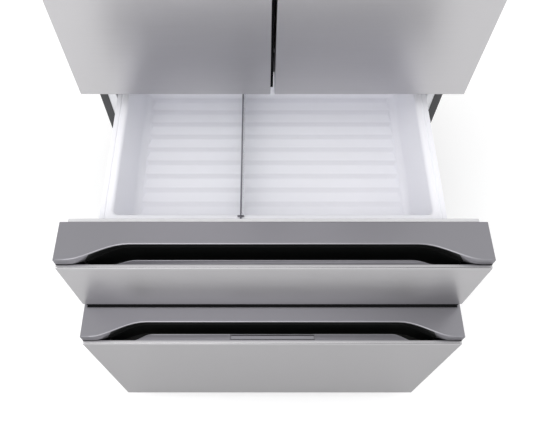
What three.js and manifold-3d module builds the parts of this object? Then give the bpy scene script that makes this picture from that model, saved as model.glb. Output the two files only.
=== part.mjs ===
// A free-standing four-door refrigerator: two upper doors, a middle drawer and a deep freezer
// drawer below, both drawers pulled open. Millimetres, +Z up, +X to the right, the doors face -Y.
// Depths are first counted from the front plane of the closed doors, at y = 0, towards the back.
import * as THREE from 'three';
import { mergeVertices } from 'three/addons/utils/BufferGeometryUtils.js';
import Module from 'manifold-3d';

const wasm = await Module();
wasm.setup();

// Cabinet
const width = 908; // cabinet, and the doors and drawer fronts
const caseDepth = 740; // cabinet without the doors
const caseFoot = 30; // floor to the lower edge of the steel sides
const steel = 1; // folded sheet of the cabinet and of the fronts
const flange = 21; // the sides' front edge, folded inwards
const fit = 0.3; // gap where two pieces meet
const hood = 30; // top hinge covers above the cabinet

// Doors and drawer fronts, from the floor up
const lowerFoot = 55;
const lowerHeight = 565;
const drawerGap = 12; // between the two drawer fronts
const middleHeight = 235;
const hingeGap = 15; // between the middle drawer and the doors
const doorHeight = 865;
const topReveal = 3; // the cabinet stands this much higher than the doors
const centreGap = 10; // between the two doors
const frontDepth = 98;
const sealDepth = 10; // closed gap that the gaskets fill

// How far the drawers stand open
const middleOpen = 433;
const lowerOpen = 518;

// Insulation and compartments
const sideWall = 42; // fridge and middle compartment
const freezerWall = 54;
const topWall = 50;
const fridgeBackWall = 68;
const middleBackWall = 108;
const freezerBackWall = 78;
const freezerFloorWall = 75;
const mullionHeight = 66; // steel rail in front of each insulated shelf
const mullionLip = 12; // liner that shows above and below a rail
const linerWall = 2.5;
const machineDepth = 226; // compressor space at the lower back
const machineTop = 295;
const stepWall = 50; // insulation between that space and the freezer

// Pocket handle in the top of a drawer front
const middleCapHeight = 24;
const lowerCapHeight = 30;
const ledgeDepth = 8.5; // steel ledge in front of the cap
const recessDepth = 44.9; // cap's edge along the middle, behind the front plane
const recessStart = 24; // recess's curve starts this far from the cabinet's side
const recessSweep = 130; // length of that curve along the front
const pocketInset = 64; // black pocket's end from the cabinet's side
const pocketDrop = 52; // pocket floor below the ledge
const pocketTopDrop = 10; // pocket's back wall below the cap's top
const pocketWall = 1.5;
const capWall = 3;
const lipThickness = 6;
const middleLipDepth = 19.5; // grip lip's back edge behind the front plane
const lowerLipDepth = 25;
const lipInset = 119; // grip lip's curve from the cabinet's side
const lipSweep = 46;
const leverLength = 200;
const leverFront = 11.8; // behind the front plane
const leverDepth = 8;
const leverThickness = 4;
const leverPin = 1.6;
const leverGap = 0.8;
const leverSwing = 2.4; // room behind the lever, which tips back as it is pressed

// Inner panels and gaskets
const panelSheet = 3;
const dike = 18; // raised ribs on a door's inner panel
const gasketInset = 16;
const gasketTopInset = 4;
const gasketWidth = 14;
const panelRoom = 22; // raised inner panel above the compartment's floor

// Top-hung bins of the two drawers
const binWall = 3;
const binFront = 114; // front edge of the rims
const middleRimInset = 66; // rim from the cabinet's side
const middleRimWidth = 30;
const binDraft = 8; // floor smaller than the mouth on each side
const middleBinDepth = 536;
const middleBinTop = 50; // rim below the drawer's top
const middleBinHeight = 138;
const ribPitch = 42;
const ribWidth = 24;
const ribHeight = 4;
const ribInset = 41; // ribs from the mouth
const ribCount = 10;
const freezerRimInset = 78;
const freezerRimWidth = 24;
const freezerBinDepth = 440;
const freezerBinTop = 190; // rim below the drawer's top
const freezerBinHeight = 310;
const basketDepth = 250;
const basketHeight = 96;
const basketWire = 3;
const dividerX = -72;
const dividerSheet = 3;
const dividerClip = 16;

// Slides
const trackHeight = 46;
const middleTrackDrop = 66; // tracks below the rims, which hide them from above
const freezerTrackDrop = 6;
const trackThick = 13;
const trackWall = 2;
const railThick = 7;
const railWeb = 4;
const crossBar = 10;
const middleTail = 12; // rails behind the bin
const freezerTail = 142;

// Door hinges
const pivotInset = 20; // pivot from the cabinet's side
const pivotDepth = 45; // pivot behind the front plane
const hingePin = 6;
const hingePlate = 3;
const pinReach = 10; // pin inside the door
const pinPlay = 0.5;
const hingeInner = 28; // bracket from the pivot inwards
const hingeOuter = 14;
const hingeFore = 16;
const hingeReach = 120; // bracket behind the cabinet's front
const coverRoom = 6; // hinge cover around the bracket
const coverSheet = 2;

// Door pockets and the bars between the doors
const gripFoot = 325; // pocket above the door's lower edge
const gripLength = 290;
const gripWidth = 38;
const gripDepth = 30;
const gapSealDepth = 22;
const gapSealThick = 10;
const gapSealReach = 1.3; // right of the middle, clear of the right door's swing
const barWidth = 56;
const barThick = 18;
const knuckle = 5.7;

// Fridge interior
const shelfSheet = 5;
const crisperCoverTop = 245; // above the fridge floor
const shelfTop = 470;
const crisperHeight = 215;
const crisperSideGap = 57; // to the fridge's wall
const crisperBack = 90; // to the fridge's back
const crisperFront = 82; // crispers and their cover behind the cabinet's front
const shelfFront = 112;
const crisperWall = 3;
const crisperGap = 16;
const doorBinFoot = 420; // above the door's lower edge
const doorBinHeight = 95;
const doorBinDepth = 90;

// Feet, rollers and the toe grille
const footInset = 54; // feet and rollers from the cabinet's sides
const footBack = 42; // feet behind the cabinet's front
const rollerBack = 48; // rollers in front of the cabinet's back
const footRadius = 20;
const footThick = 10;
const studRadius = 6;
const rollerRadius = 20;
const rollerWidth = 20;
const axleRadius = 4;
const panLift = 43; // base pan above the floor
const panSheet = 2;
const grilleFoot = 14;
const grilleDepth = 75;
const grilleSlots = 12;
const slotLength = 52;
const slotHeight = 14;
const coverInset = 5; // compressor cover in front of the cabinet's back
const ventRows = 5;
const ventLength = 260;
const ventHeight = 8;
const glandRadius = 12;
const leadRadius = 4;
const armWidth = 30; // grille arms
const armDrop = 6;


// Cooling circuit
const compressorBase = [200, 120];
const compressorFeet = [84, 46];
const compressorInset = 224; // its middle from the cabinet's side
const mountHeight = 18; // base plate above the pan
const potRadius = 76;
const potHeight = 180;
const potSeam = 100; // welded seam round the middle
const potLip = 5;
const potShoulder = 26;
const condenserLength = 190;
const shroudX = 10; // shroud from the middle plane
const shroudHalf = 84;
const fanRadius = 68;
const fanHub = 22;
const fanDepth = 26;
const finCount = 14;
const finSheet = 2;
const evaporatorDepth = 60;
const evaporatorEnds = 100; // to the freezer's side walls
const evaporatorLift = 15;
const evaporatorHeight = 150;

// Derived places
const half = width / 2;
const caseFront = frontDepth + sealDepth;
const caseBack = caseFront + caseDepth;
const lowerTop = lowerFoot + lowerHeight;
const middleFoot = lowerTop + drawerGap;
const middleTop = middleFoot + middleHeight;
const doorFoot = middleTop + hingeGap;
const doorTop = doorFoot + doorHeight;
const caseTop = doorTop + topReveal;
const linerFront = caseFront + steel + fit;
const foamFront = linerFront + linerWall + fit;
const panTop = panLift + panSheet;
const machineFront = caseBack - machineDepth;
const lowerMullionMid = lowerTop + drawerGap / 2;
const upperMullionMid = middleTop + hingeGap / 2;
const mullionReach = mullionHeight / 2 + mullionLip;
const pivotX = half - pivotInset;
const doorInner = centreGap / 2;
const recessOuter = half - recessStart;
const recessInner = recessOuter - recessSweep;
const pocketEnd = half - pocketInset;
const lipOuter = half - lipInset;
const lipInner = lipOuter - lipSweep;
const middleRimHalf = half - middleRimInset;
const middleMouthHalf = middleRimHalf - middleRimWidth;
const middleBinFloorHalf = middleMouthHalf - binDraft;
const ribHalf = middleMouthHalf - ribInset;
const freezerRimHalf = half - freezerRimInset;
const freezerMouthHalf = freezerRimHalf - freezerRimWidth;
const freezerBinFloorHalf = freezerMouthHalf - binDraft;

// The three cooled compartments as [x], [y], [z] spans
const fridgeHalf = half - sideWall;
const freezerHalf = half - freezerWall;
const fridgeFloor = upperMullionMid + mullionReach;
const fridgeCeiling = caseTop - topWall;
const fridgeBack = caseBack - fridgeBackWall;
const middleFloor = lowerMullionMid + mullionReach;
const middleCeiling = upperMullionMid - mullionReach;
const middleBack = caseBack - middleBackWall;
const freezerFloor = caseFoot + freezerFloorWall;
const freezerCeiling = lowerMullionMid - mullionReach;
const freezerBack = caseBack - freezerBackWall;
const stepTop = machineTop + stepWall;
const stepBack = machineFront - stepWall;
const fanMiddle = [machineFront + machineDepth / 2 - 2, panTop + 88];

// Materials
function finish(color, roughness, metalness, opacity = 1) {
  return new THREE.MeshStandardMaterial({
    color,
    roughness,
    metalness,
    opacity,
    transparent: opacity < 1,
  });
}

const stainless = finish(0xa4a4a6, 0.35, 0.9);
const darkPaint = finish(0x4d4d4f, 0.5, 0.3);
const galvanised = finish(0xb9bcbd, 0.45, 0.8);
const greyPlastic = finish(0x8f8e92, 0.45, 0);
const blackPlastic = finish(0x0b0c0d, 0.5, 0);
const whiteLiner = finish(0xe9e9ee, 0.4, 0);
const binPlastic = finish(0xdbdce1, 0.35, 0);
const gasketRubber = finish(0xc9c9cc, 0.8, 0);
const blackRubber = finish(0x101012, 0.8, 0);
const foam = finish(0xd8c79a, 0.9, 0);
const clearPlastic = finish(0xe4eaee, 0.1, 0, 0.4);
const shelfGlass = finish(0xdfe9e6, 0.05, 0, 0.4);
const aluminiumFins = finish(0xc4c6c8, 0.4, 0.9);
const blackSteel = finish(0x1b1b1d, 0.5, 0.4);
const zincSteel = finish(0xa9abad, 0.4, 0.9);

// A closed manifold solid from a three.js geometry.
function solid(geometry) {
  geometry.deleteAttribute('normal');
  geometry.deleteAttribute('uv');
  const merged = mergeVertices(geometry, 1e-4);
  return new wasm.Manifold(
    new wasm.Mesh({
      numProp: 3,
      vertProperties: new Float32Array(merged.attributes.position.array),
      triVerts: new Uint32Array(merged.index.array),
    }),
  );
}

// A named mesh from a finished solid.
function part(name, body, material) {
  const { vertProperties, triVerts } = body.getMesh();
  const geometry = new THREE.BufferGeometry();
  geometry.setAttribute('position', new THREE.BufferAttribute(vertProperties, 3));
  geometry.setIndex(new THREE.BufferAttribute(triVerts, 1));
  geometry.computeVertexNormals();
  const piece = new THREE.Mesh(geometry, material);
  piece.name = name;
  return piece;
}

// Shapes with square edges, round rods and extruded outlines.
function block([x0, x1], [y0, y1], [z0, z1]) {
  const geometry = new THREE.BoxGeometry(x1 - x0, y1 - y0, z1 - z0);
  geometry.translate((x0 + x1) / 2, (y0 + y1) / 2, (z0 + z1) / 2);
  return solid(geometry);
}

function rod(axis, [from, to], [a, b], radius, sides = 16) {
  const geometry = new THREE.CylinderGeometry(radius, radius, to - from, sides);
  const middle = (from + to) / 2;
  if (axis === 'x') {
    geometry.rotateZ(Math.PI / 2);
    geometry.translate(middle, a, b);
  } else if (axis === 'y') {
    geometry.translate(a, middle, b);
  } else {
    geometry.rotateX(Math.PI / 2);
    geometry.translate(a, b, middle);
  }
  return solid(geometry);
}

function extrude(shape, depth, curveSegments = 10) {
  return new THREE.ExtrudeGeometry(shape, { depth, bevelEnabled: false, curveSegments });
}

// An outline drawn from above in x and y, raised from z0 to z1.
function fromAbove(shape, [z0, z1]) {
  const geometry = extrude(shape, z1 - z0);
  geometry.translate(0, 0, z0);
  return solid(geometry);
}

// An outline drawn from the side in y and z, drawn out from x0 to x1.
function fromSide(shape, [x0, x1]) {
  const geometry = extrude(shape, x1 - x0);
  geometry.rotateY(Math.PI / 2);
  geometry.rotateX(Math.PI / 2);
  geometry.translate(x0, 0, 0);
  return solid(geometry);
}

// An outline drawn from the front in x and z, drawn out from y0 to y1.
function fromFront(shape, [y0, y1]) {
  const geometry = extrude(shape, y1 - y0);
  geometry.rotateX(Math.PI / 2);
  geometry.translate(0, y1, 0);
  return solid(geometry);
}

function outline(points) {
  return new THREE.Shape(points.map(([a, b]) => new THREE.Vector2(a, b)));
}

function joined(solids) {
  return solids.reduce((sum, next) => sum.add(next));
}

// A span on the right (side = 1) or mirrored on the left (side = -1).
function mirrored(side, a, b) {
  return side > 0 ? [a, b] : [-b, -a];
}

// A block whose floor is smaller than its mouth.
function hopper(mouth, floor, [z0, z1]) {
  const geometry = new THREE.BoxGeometry(1, 1, 1);
  const corners = geometry.attributes.position;
  for (let i = 0; i < corners.count; i += 1) {
    const ring = corners.getZ(i) > 0 ? mouth : floor;
    const x = ring.x[corners.getX(i) > 0 ? 1 : 0];
    const y = ring.y[corners.getY(i) > 0 ? 1 : 0];
    corners.setXYZ(i, x, y, corners.getZ(i) > 0 ? z1 : z0);
  }
  return solid(geometry);
}

// Cabinet -------------------------------------------------------------------------------------

// Painted steel sides and top in one wrap, with a front edge folded inwards.
function outerCase() {
  const shell = block([-half, half], [caseFront, caseBack], [caseFoot, caseTop]);
  const inside = block(
    [steel - half, half - steel],
    [caseFront + steel, caseBack + steel],
    [caseFoot - steel, caseTop - steel],
  );
  const frontWindow = block(
    [flange - half, half - flange],
    [caseFront - steel, caseFront + 2 * steel],
    [caseFoot - steel, caseTop - flange],
  );
  return shell.subtract(inside).subtract(frontWindow);
}

const insideHalf = half - steel - fit;

function backPanel() {
  return block(
    [-insideHalf, insideHalf],
    [caseBack - fit - steel, caseBack - fit],
    [machineTop + fit, caseTop - steel - fit],
  );
}

// Rigid foam between the case and the liners, with the compartments left free.
function foamBody() {
  const wall = linerWall + fit;
  const back = caseBack - steel - 2 * fit;
  const front = foamFront - 1;
  const body = block([-insideHalf, insideHalf], [foamFront, back], [panTop + fit, caseTop - steel - fit]);
  const fridge = block(
    [-fridgeHalf - wall, fridgeHalf + wall],
    [front, fridgeBack + wall],
    [fridgeFloor - wall, fridgeCeiling + wall],
  );
  const middle = block(
    [-fridgeHalf - wall, fridgeHalf + wall],
    [front, middleBack + wall],
    [middleFloor - wall, middleCeiling + wall],
  );
  const freezer = block(
    [-freezerHalf - wall, freezerHalf + wall],
    [front, freezerBack + wall],
    [stepTop - wall, freezerCeiling + wall],
  );
  const well = block(
    [-freezerHalf - wall, freezerHalf + wall],
    [front, stepBack + wall],
    [freezerFloor - wall, stepTop + wall],
  );
  const machineSpace = block([-half, half], [machineFront, caseBack], [panTop - 1, machineTop]);
  return body.subtract(joined([fridge, middle, freezer, well, machineSpace]));
}

// One moulded liner for the fridge and the middle compartment, with its front flange.
function fridgeLiner() {
  const w = linerWall;
  const face = block(
    [-insideHalf, insideHalf],
    [linerFront, linerFront + w],
    [lowerMullionMid + fit, caseTop - steel - fit],
  );
  const fridge = block(
    [-fridgeHalf - w, fridgeHalf + w],
    [linerFront, fridgeBack + w],
    [fridgeFloor - w, fridgeCeiling + w],
  );
  const middle = block(
    [-fridgeHalf - w, fridgeHalf + w],
    [linerFront, middleBack + w],
    [middleFloor - w, middleCeiling + w],
  );
  const fridgeRoom = block([-fridgeHalf, fridgeHalf], [linerFront - 1, fridgeBack], [fridgeFloor, fridgeCeiling]);
  const middleRoom = block([-fridgeHalf, fridgeHalf], [linerFront - 1, middleBack], [middleFloor, middleCeiling]);
  return joined([face, fridge, middle]).subtract(fridgeRoom).subtract(middleRoom);
}

// The freezer's liner steps forward over the compressor space.
function freezerLiner() {
  const w = linerWall;
  const face = block(
    [-insideHalf, insideHalf],
    [linerFront, linerFront + w],
    [panTop + fit, lowerMullionMid - fit],
  );
  const upper = block(
    [-freezerHalf - w, freezerHalf + w],
    [linerFront, freezerBack + w],
    [stepTop - w, freezerCeiling + w],
  );
  const well = block(
    [-freezerHalf - w, freezerHalf + w],
    [linerFront, stepBack + w],
    [freezerFloor - w, stepTop + w],
  );
  const upperRoom = block([-freezerHalf, freezerHalf], [linerFront - 1, freezerBack], [stepTop, freezerCeiling]);
  const wellRoom = block([-freezerHalf, freezerHalf], [linerFront - 1, stepBack], [freezerFloor, stepTop + 1]);
  return joined([face, upper, well]).subtract(upperRoom).subtract(wellRoom);
}

// Steel rail across the cabinet's front, which the gaskets above and below close on.
function mullion(middle) {
  const x = flange + fit - half;
  return block([x, -x], [caseFront, caseFront + steel], [middle - mullionHeight / 2, middle + mullionHeight / 2]);
}

// Base pan with its front channel and the forks and axles of the rear rollers.
function basePan() {
  const back = caseBack - coverInset - fit;
  const plate = block([-insideHalf, insideHalf], [linerFront, back], [panLift, panTop]);
  const channel = block([-insideHalf, insideHalf], [linerFront, linerFront + panSheet], [caseFoot, panTop]);
  const y = caseBack - rollerBack;
  const forks = [-1, 1].flatMap((side) => {
    const x = side * (half - footInset);
    const ear = rollerWidth / 2 + 1;
    const earSpans = [
      [x - ear - panSheet, x - ear],
      [x + ear, x + ear + panSheet],
    ];
    const ears = earSpans.map((span) =>
      block(span, [y - 2 * axleRadius, y + 2 * axleRadius], [rollerRadius - 2 * axleRadius, panTop]),
    );
    const axle = rod('x', [x - ear - 1, x + ear + 1], [y, rollerRadius], axleRadius);
    return [...ears, axle];
  });
  return joined([plate, channel, ...forks]);
}

// Slotted plinth under the freezer drawer, on two arms.
function toeGrille() {
  const top = lowerFoot - 3;
  const y = [grilleDepth, grilleDepth + panelSheet];
  const plate = block([flange - half, half - flange], y, [grilleFoot, top]);
  const pitch = (width - 2 * flange) / (grilleSlots + 1);
  const middle = (grilleFoot + top) / 2;
  const slots = Array.from({ length: grilleSlots }, (_, i) => {
    const x = flange - half + (i + 1) * pitch;
    return block(
      [x - slotLength / 2, x + slotLength / 2],
      [y[0] - 1, y[1] + 1],
      [middle - slotHeight / 2, middle + slotHeight / 2],
    );
  });
  const arms = [-1, 1].map((side) =>
    block(mirrored(side, half / 2, half / 2 + armWidth), [y[1] - 1, linerFront - fit], [
      top - armDrop - panelSheet,
      top - armDrop,
    ]),
  );
  return joined([plate.subtract(joined(slots)), ...arms]);
}

// Ventilated cover of the compressor space, with the round gland that the mains lead leaves by.
function rearCover() {
  const y = caseBack - coverInset;
  const foot = panTop + fit;
  const plate = block([-insideHalf, insideHalf], [y, y + panSheet], [foot, machineTop - fit]);
  const pitch = (machineTop - foot) / (ventRows + 3);
  const slots = [-1, 1].flatMap((side) =>
    Array.from({ length: ventRows }, (_, row) => {
      const x = (side * half) / 2;
      const z = machineTop - (row + 1) * pitch;
      return block([x - ventLength / 2, x + ventLength / 2], [y - 1, caseBack], [z - ventHeight, z]);
    }),
  );
  const glandPlace = [half - 3 * footInset, foot + 2 * glandRadius];
  const gland = rod('y', [y, caseBack], glandPlace, glandRadius);
  const leadHole = rod('y', [y - 1, caseBack + 1], glandPlace, leadRadius, 12);
  return plate.subtract(joined(slots)).add(gland).subtract(leadHole);
}

// Hermetic compressor on its base plate and four rubber feet.
function compressor() {
  const x = compressorInset - half;
  const y = machineFront + machineDepth / 2;
  const z = panTop + fit;
  const profile = [
    [0, mountHeight + 4],
    [potRadius - potLip, mountHeight + 4],
    [potRadius, mountHeight + 4 + 2 * potLip],
    [potRadius, potSeam - potLip],
    [potRadius + potLip, potSeam],
    [potRadius, potSeam + potLip],
    [potRadius, potHeight - potShoulder],
    [potRadius - potShoulder, potHeight - potLip],
    [0, potHeight],
  ];
  const pot = new THREE.LatheGeometry(
    profile.map(([r, h]) => new THREE.Vector2(r, h)),
    24,
  );
  pot.rotateX(Math.PI / 2);
  pot.translate(x, y, z);
  const [baseX, baseY] = compressorBase;
  const [footX, footY] = compressorFeet;
  const base = block(
    [x - baseX / 2, x + baseX / 2],
    [y - baseY / 2, y + baseY / 2],
    [z + mountHeight, z + mountHeight + 6],
  );
  const feet = [-1, 1].flatMap((i) =>
    [-1, 1].map((j) => rod('z', [z, z + mountHeight + 1], [x + i * footX, y + j * footY], 12, 12)),
  );
  return joined([solid(pot), base, ...feet]);
}

// Finned condenser on a foot plate, with the fan's shroud and motor at its left end.
function condenser() {
  const [yMid, zMid] = fanMiddle;
  const x = [shroudX, shroudX + condenserLength];
  const y = [yMid - shroudHalf, yMid + shroudHalf];
  const foot = panTop + fit;
  const top = zMid + shroudHalf;
  const pitch = (y[1] - y[0]) / finCount;
  const fins = Array.from({ length: finCount }, (_, i) =>
    block([x[0] + 24, x[1]], [y[0] + i * pitch, y[0] + i * pitch + finSheet], [foot, top - 4]),
  );
  const tubeX = (x[0] + x[1]) / 2;
  const tube = block([tubeX - 4, tubeX + 4], [y[0], y[1] - pitch + finSheet], [zMid, zMid + 8]);
  const plate = block(x, y, [foot, foot + 3]);
  const shroud = block([x[0], x[0] + panelSheet], y, [foot, top]);
  const opening = rod('x', [x[0] - 1, x[0] + panelSheet + 1], fanMiddle, fanRadius + 4, 24);
  const spokes = block([x[0], x[0] + panelSheet], [yMid - 5, yMid + 5], [foot, top]);
  const motor = rod('x', [x[0], x[0] + 20], fanMiddle, fanHub);
  return joined([shroud.subtract(opening), plate, ...fins, tube, spokes, motor]);
}

function condenserFan() {
  const [yMid, zMid] = fanMiddle;
  const x = [shroudX - fit - fanDepth, shroudX - fit];
  const hub = rod('x', x, fanMiddle, fanHub);
  const blades = Array.from({ length: 5 }, (_, i) => {
    const geometry = new THREE.BoxGeometry(2.5, fanRadius - fanHub + 4, 30);
    geometry.rotateY(Math.PI / 5);
    geometry.translate((x[0] + x[1]) / 2, (fanRadius + fanHub - 4) / 2, 0);
    geometry.rotateX((i * 2 * Math.PI) / 5);
    geometry.translate(0, yMid, zMid);
    return solid(geometry);
  });
  return joined([hub, ...blades]);
}

// Finned evaporator on the freezer's back wall, behind its slotted cover.
function evaporator() {
  const y = freezerBack - fit;
  const z = [stepTop + evaporatorLift, stepTop + evaporatorLift + evaporatorHeight];
  const x = freezerHalf - evaporatorEnds;
  const pitch = (2 * x) / finCount;
  const fins = Array.from({ length: finCount + 1 }, (_, i) =>
    block([i * pitch - x, i * pitch - x + finSheet], [y - evaporatorDepth, y], z),
  );
  const tubes = [1, 2].map((i) => {
    const height = z[0] + (i * evaporatorHeight) / 3;
    return block([-x, x + finSheet], [y - 26, y - 18], [height - 4, height + 4]);
  });
  return joined([...fins, ...tubes]);
}

function evaporatorCover() {
  const y = freezerBack - evaporatorDepth - 2 * fit;
  const x = freezerHalf - fit;
  const plate = block([-x, x], [y - panelSheet, y], [stepTop + fit, freezerCeiling - fit]);
  const pitch = (2 * x) / 7;
  const top = freezerCeiling - 25;
  const slots = Array.from({ length: 6 }, (_, i) => {
    const middle = (i + 1) * pitch - x;
    return block([middle - 40, middle + 40], [y - 2 * panelSheet, y + 1], [top - 20, top]);
  });
  return plate.subtract(joined(slots));
}

// Hinges --------------------------------------------------------------------------------------

// Bracket on the cabinet's top whose pin reaches down into the door.
function topHinge(side) {
  const x = [pivotX - hingeInner, pivotX + hingeOuter];
  const y = [pivotDepth - hingeFore, caseFront + hingeReach];
  const plate = block(mirrored(side, ...x), y, [caseTop + fit, caseTop + fit + hingePlate]);
  const pin = rod('z', [doorTop - pinReach, caseTop + fit + 1], [side * pivotX, pivotDepth], hingePin);
  const collar = rod('z', [doorTop + fit, caseTop + fit + 1], [side * pivotX, pivotDepth], 2 * hingePin);
  return joined([plate, pin, collar]);
}

function hingeCover(side) {
  const x = [pivotX - hingeInner - coverRoom, half];
  const y = [pivotDepth - hingeFore - coverRoom, caseFront + hingeReach + coverRoom];
  const outer = block(mirrored(side, ...x), y, [caseTop + fit, caseTop + hood]);
  const inner = block(
    mirrored(side, x[0] + coverSheet, x[1] - coverSheet),
    [y[0] + coverSheet, y[1] - coverSheet],
    [caseTop, caseTop + hood - coverSheet],
  );
  return outer.subtract(inner);
}

// Bracket on the cabinet's front, in the gap under a door, whose pin carries the door.
function lowerHinge(side) {
  const gap = [middleTop, doorFoot];
  const plateZ = [gap[0] + 2.5, gap[0] + 2.5 + hingePlate + 1];
  const back = caseFront - fit;
  const plate = block(mirrored(side, pivotX - 14, half - 1), [pivotDepth, back], plateZ);
  const nose = rod('z', plateZ, [side * pivotX, pivotDepth], 14);
  const tab = block(
    mirrored(side, half - gasketInset + 1, half - 1),
    [back - hingePlate, back],
    [plateZ[0], doorFoot + 30],
  );
  const collar = rod('z', [plateZ[0], gap[1] - fit], [side * pivotX, pivotDepth], 2 * hingePin);
  const pin = rod('z', [plateZ[0], doorFoot + pinReach], [side * pivotX, pivotDepth], hingePin);
  return joined([plate, nose, tab, collar, pin]);
}

// Doors ---------------------------------------------------------------------------------------

const gripZ = [doorFoot + gripFoot, doorFoot + gripFoot + gripLength];

// Outline of the grip pocket at a door's inner edge, with S-shaped ends. Grown by a margin.
function gripOutline(side, margin) {
  const x0 = doorInner - 1;
  const x1 = doorInner + gripWidth + margin;
  const [z0, z1] = [gripZ[0] - margin, gripZ[1] + margin];
  const sweep = 70;
  const shape = new THREE.Shape();
  shape.moveTo(side * x0, z0);
  shape.lineTo(side * (doorInner + margin), z0);
  shape.bezierCurveTo(side * doorInner, z0 + sweep / 2, side * x1, z0 + sweep / 2, side * x1, z0 + sweep);
  shape.lineTo(side * x1, z1 - sweep);
  shape.bezierCurveTo(side * x1, z1 - sweep / 2, side * doorInner, z1 - sweep / 2, side * (doorInner + margin), z1);
  shape.lineTo(side * x0, z1);
  return shape;
}

// Stainless wrap of a door: front, sides, top and bottom, with a recessed grip at its inner edge.
function doorSkin(side) {
  const outer = block(mirrored(side, doorInner, half), [0, frontDepth], [doorFoot, doorTop]);
  const inner = block(
    mirrored(side, doorInner + steel, half - steel),
    [steel, frontDepth + 1],
    [doorFoot + steel, doorTop - steel],
  );
  const gripWall = fromFront(gripOutline(side, steel), [0, gripDepth + steel]).intersect(outer);
  const grip = fromFront(gripOutline(side, 0), [-1, gripDepth]);
  const pinHole = rod('z', [doorFoot - 1, doorTop + 1], [side * pivotX, pivotDepth], hingePin + pinPlay);
  return outer.subtract(inner).subtract(pinHole).add(gripWall).subtract(grip);
}

// Moulded inner panel with raised ribs that the door bins hang between.
const ribOuter = half - 59;
const ribInner = 40;
const dikeWidth = 20;

function doorPanel(side) {
  const inset = steel + fit;
  const sheet = block(
    mirrored(side, doorInner + inset, half - inset),
    [frontDepth - panelSheet, frontDepth],
    [doorFoot + inset, doorTop - inset],
  );
  const z = [fridgeFloor + 8, fridgeCeiling - 8];
  const y = [frontDepth - 1, frontDepth + dike];
  const uprights = [
    block(mirrored(side, ribInner, ribInner + dikeWidth), y, z),
    block(mirrored(side, ribOuter - dikeWidth, ribOuter), y, z),
  ];
  const crossRibs = [z[0], z[1] - dikeWidth].map((z0) =>
    block(mirrored(side, ribInner, ribOuter), y, [z0, z0 + dikeWidth]),
  );
  const pinHole = rod('z', [doorFoot, doorTop], [side * pivotX, pivotDepth], hingePin + pinPlay);
  return joined([sheet, ...uprights, ...crossRibs]).subtract(pinHole);
}

// Gasket ring around the back of a door or drawer front.
function gasket(xSpan, zSpan) {
  const y = [frontDepth + fit, caseFront - fit];
  const ring = block(xSpan, y, zSpan);
  const opening = block(
    [xSpan[0] + gasketWidth, xSpan[1] - gasketWidth],
    [y[0] - 1, y[1] + 1],
    [zSpan[0] + gasketWidth, zSpan[1] - gasketWidth],
  );
  return ring.subtract(opening);
}

function doorGasket(side) {
  return gasket(mirrored(side, doorInner + gasketInset, half - gasketInset), [
    doorFoot + gasketInset,
    doorTop - gasketInset,
  ]);
}

// Clear bin that hangs between the panel's ribs.
function doorBin(side) {
  const x = [ribInner + dikeWidth + fit, ribOuter - dikeWidth - fit];
  const y = [frontDepth + fit, frontDepth + fit + doorBinDepth];
  const z = [doorFoot + doorBinFoot, doorFoot + doorBinFoot + doorBinHeight];
  const outer = block(mirrored(side, ...x), y, z);
  const inner = block(
    mirrored(side, x[0] + binWall, x[1] - binWall),
    [y[0] + binWall, y[1] - binWall],
    [z[0] + binWall, z[1] + 1],
  );
  return outer.subtract(inner);
}

// Black strip on the left door that closes the gap between the two doors.
function gapSeal() {
  const x = [fit - doorInner, gapSealReach];
  return block(x, [gapSealDepth, gapSealDepth + gapSealThick], [doorFoot, doorTop - 2]);
}

// Upright bar that turns on the left door's inner panel, folded back.
const barPivot = [fit + knuckle - ribInner, frontDepth + dike + 1];

function flipBar() {
  const [x, y] = barPivot;
  const z = [fridgeFloor + 8, fridgeCeiling - 8];
  const face = [x - barThick / 2 - fit, x + barThick / 2 - fit];
  const bar = block(face, [y + knuckle + 1, y + knuckle + 1 + barWidth], z);
  const web = block([x - 3, x + 3], [y, y + knuckle + 2], z);
  const barrel = rod('z', z, barPivot, knuckle, 12);
  return joined([bar, web, barrel]);
}

// Drawer fronts -------------------------------------------------------------------------------

// Walks a curve from the front line to the recessed line of a pocket, left to right.
function pocketLine(shape, outerX, innerX, front, back) {
  const reach = outerX - innerX;
  shape.lineTo(-outerX, front);
  shape.bezierCurveTo(-outerX + 0.3 * reach, front, -innerX - 0.4 * reach, back, -innerX, back);
  shape.lineTo(innerX, back);
  shape.bezierCurveTo(innerX + 0.4 * reach, back, outerX - 0.3 * reach, front, outerX, front);
}

// Plan of the cap: straight sides and back, and the S-curved recess along its front.
function capPlan(wall) {
  const shape = new THREE.Shape();
  shape.moveTo(wall - half, frontDepth - wall);
  shape.lineTo(wall - half, ledgeDepth + wall);
  pocketLine(shape, recessOuter, recessInner, ledgeDepth + wall, recessDepth + wall);
  shape.lineTo(half - wall, ledgeDepth + wall);
  shape.lineTo(half - wall, frontDepth - wall);
  return shape;
}

// Plan of the grip lip in front of the pocket.
function lipPlan(lipDepth) {
  const shape = new THREE.Shape();
  shape.moveTo(lipOuter, ledgeDepth + fit);
  pocketLine(shape, lipOuter, lipInner, ledgeDepth + fit, lipDepth);
  return shape;
}

// Grey moulded cap: a hollow top with the recess, and the grip lip on a bar under the ledge.
function frontCap(faceTop, capTop, lipDepth) {
  const shell = fromAbove(capPlan(0), [faceTop, capTop]);
  const hollow = fromAbove(capPlan(capWall), [faceTop - 1, capTop - capWall]);
  const under = faceTop - steel - fit;
  const barFoot = faceTop - lipThickness;
  const bar = block([-insideHalf, insideHalf], [steel + fit, ledgeDepth + 1], [barFoot, under]);
  const lip = fromAbove(lipPlan(lipDepth), [barFoot, faceTop - fit]);
  const ends = [-1, 1].map((side) =>
    block(mirrored(side, recessOuter + 4, insideHalf), [ledgeDepth + fit, frontDepth - panelSheet - fit], [
      barFoot,
      faceTop + 1,
    ]),
  );
  return joined([shell.subtract(hollow), bar, lip, ...ends]);
}

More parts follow.
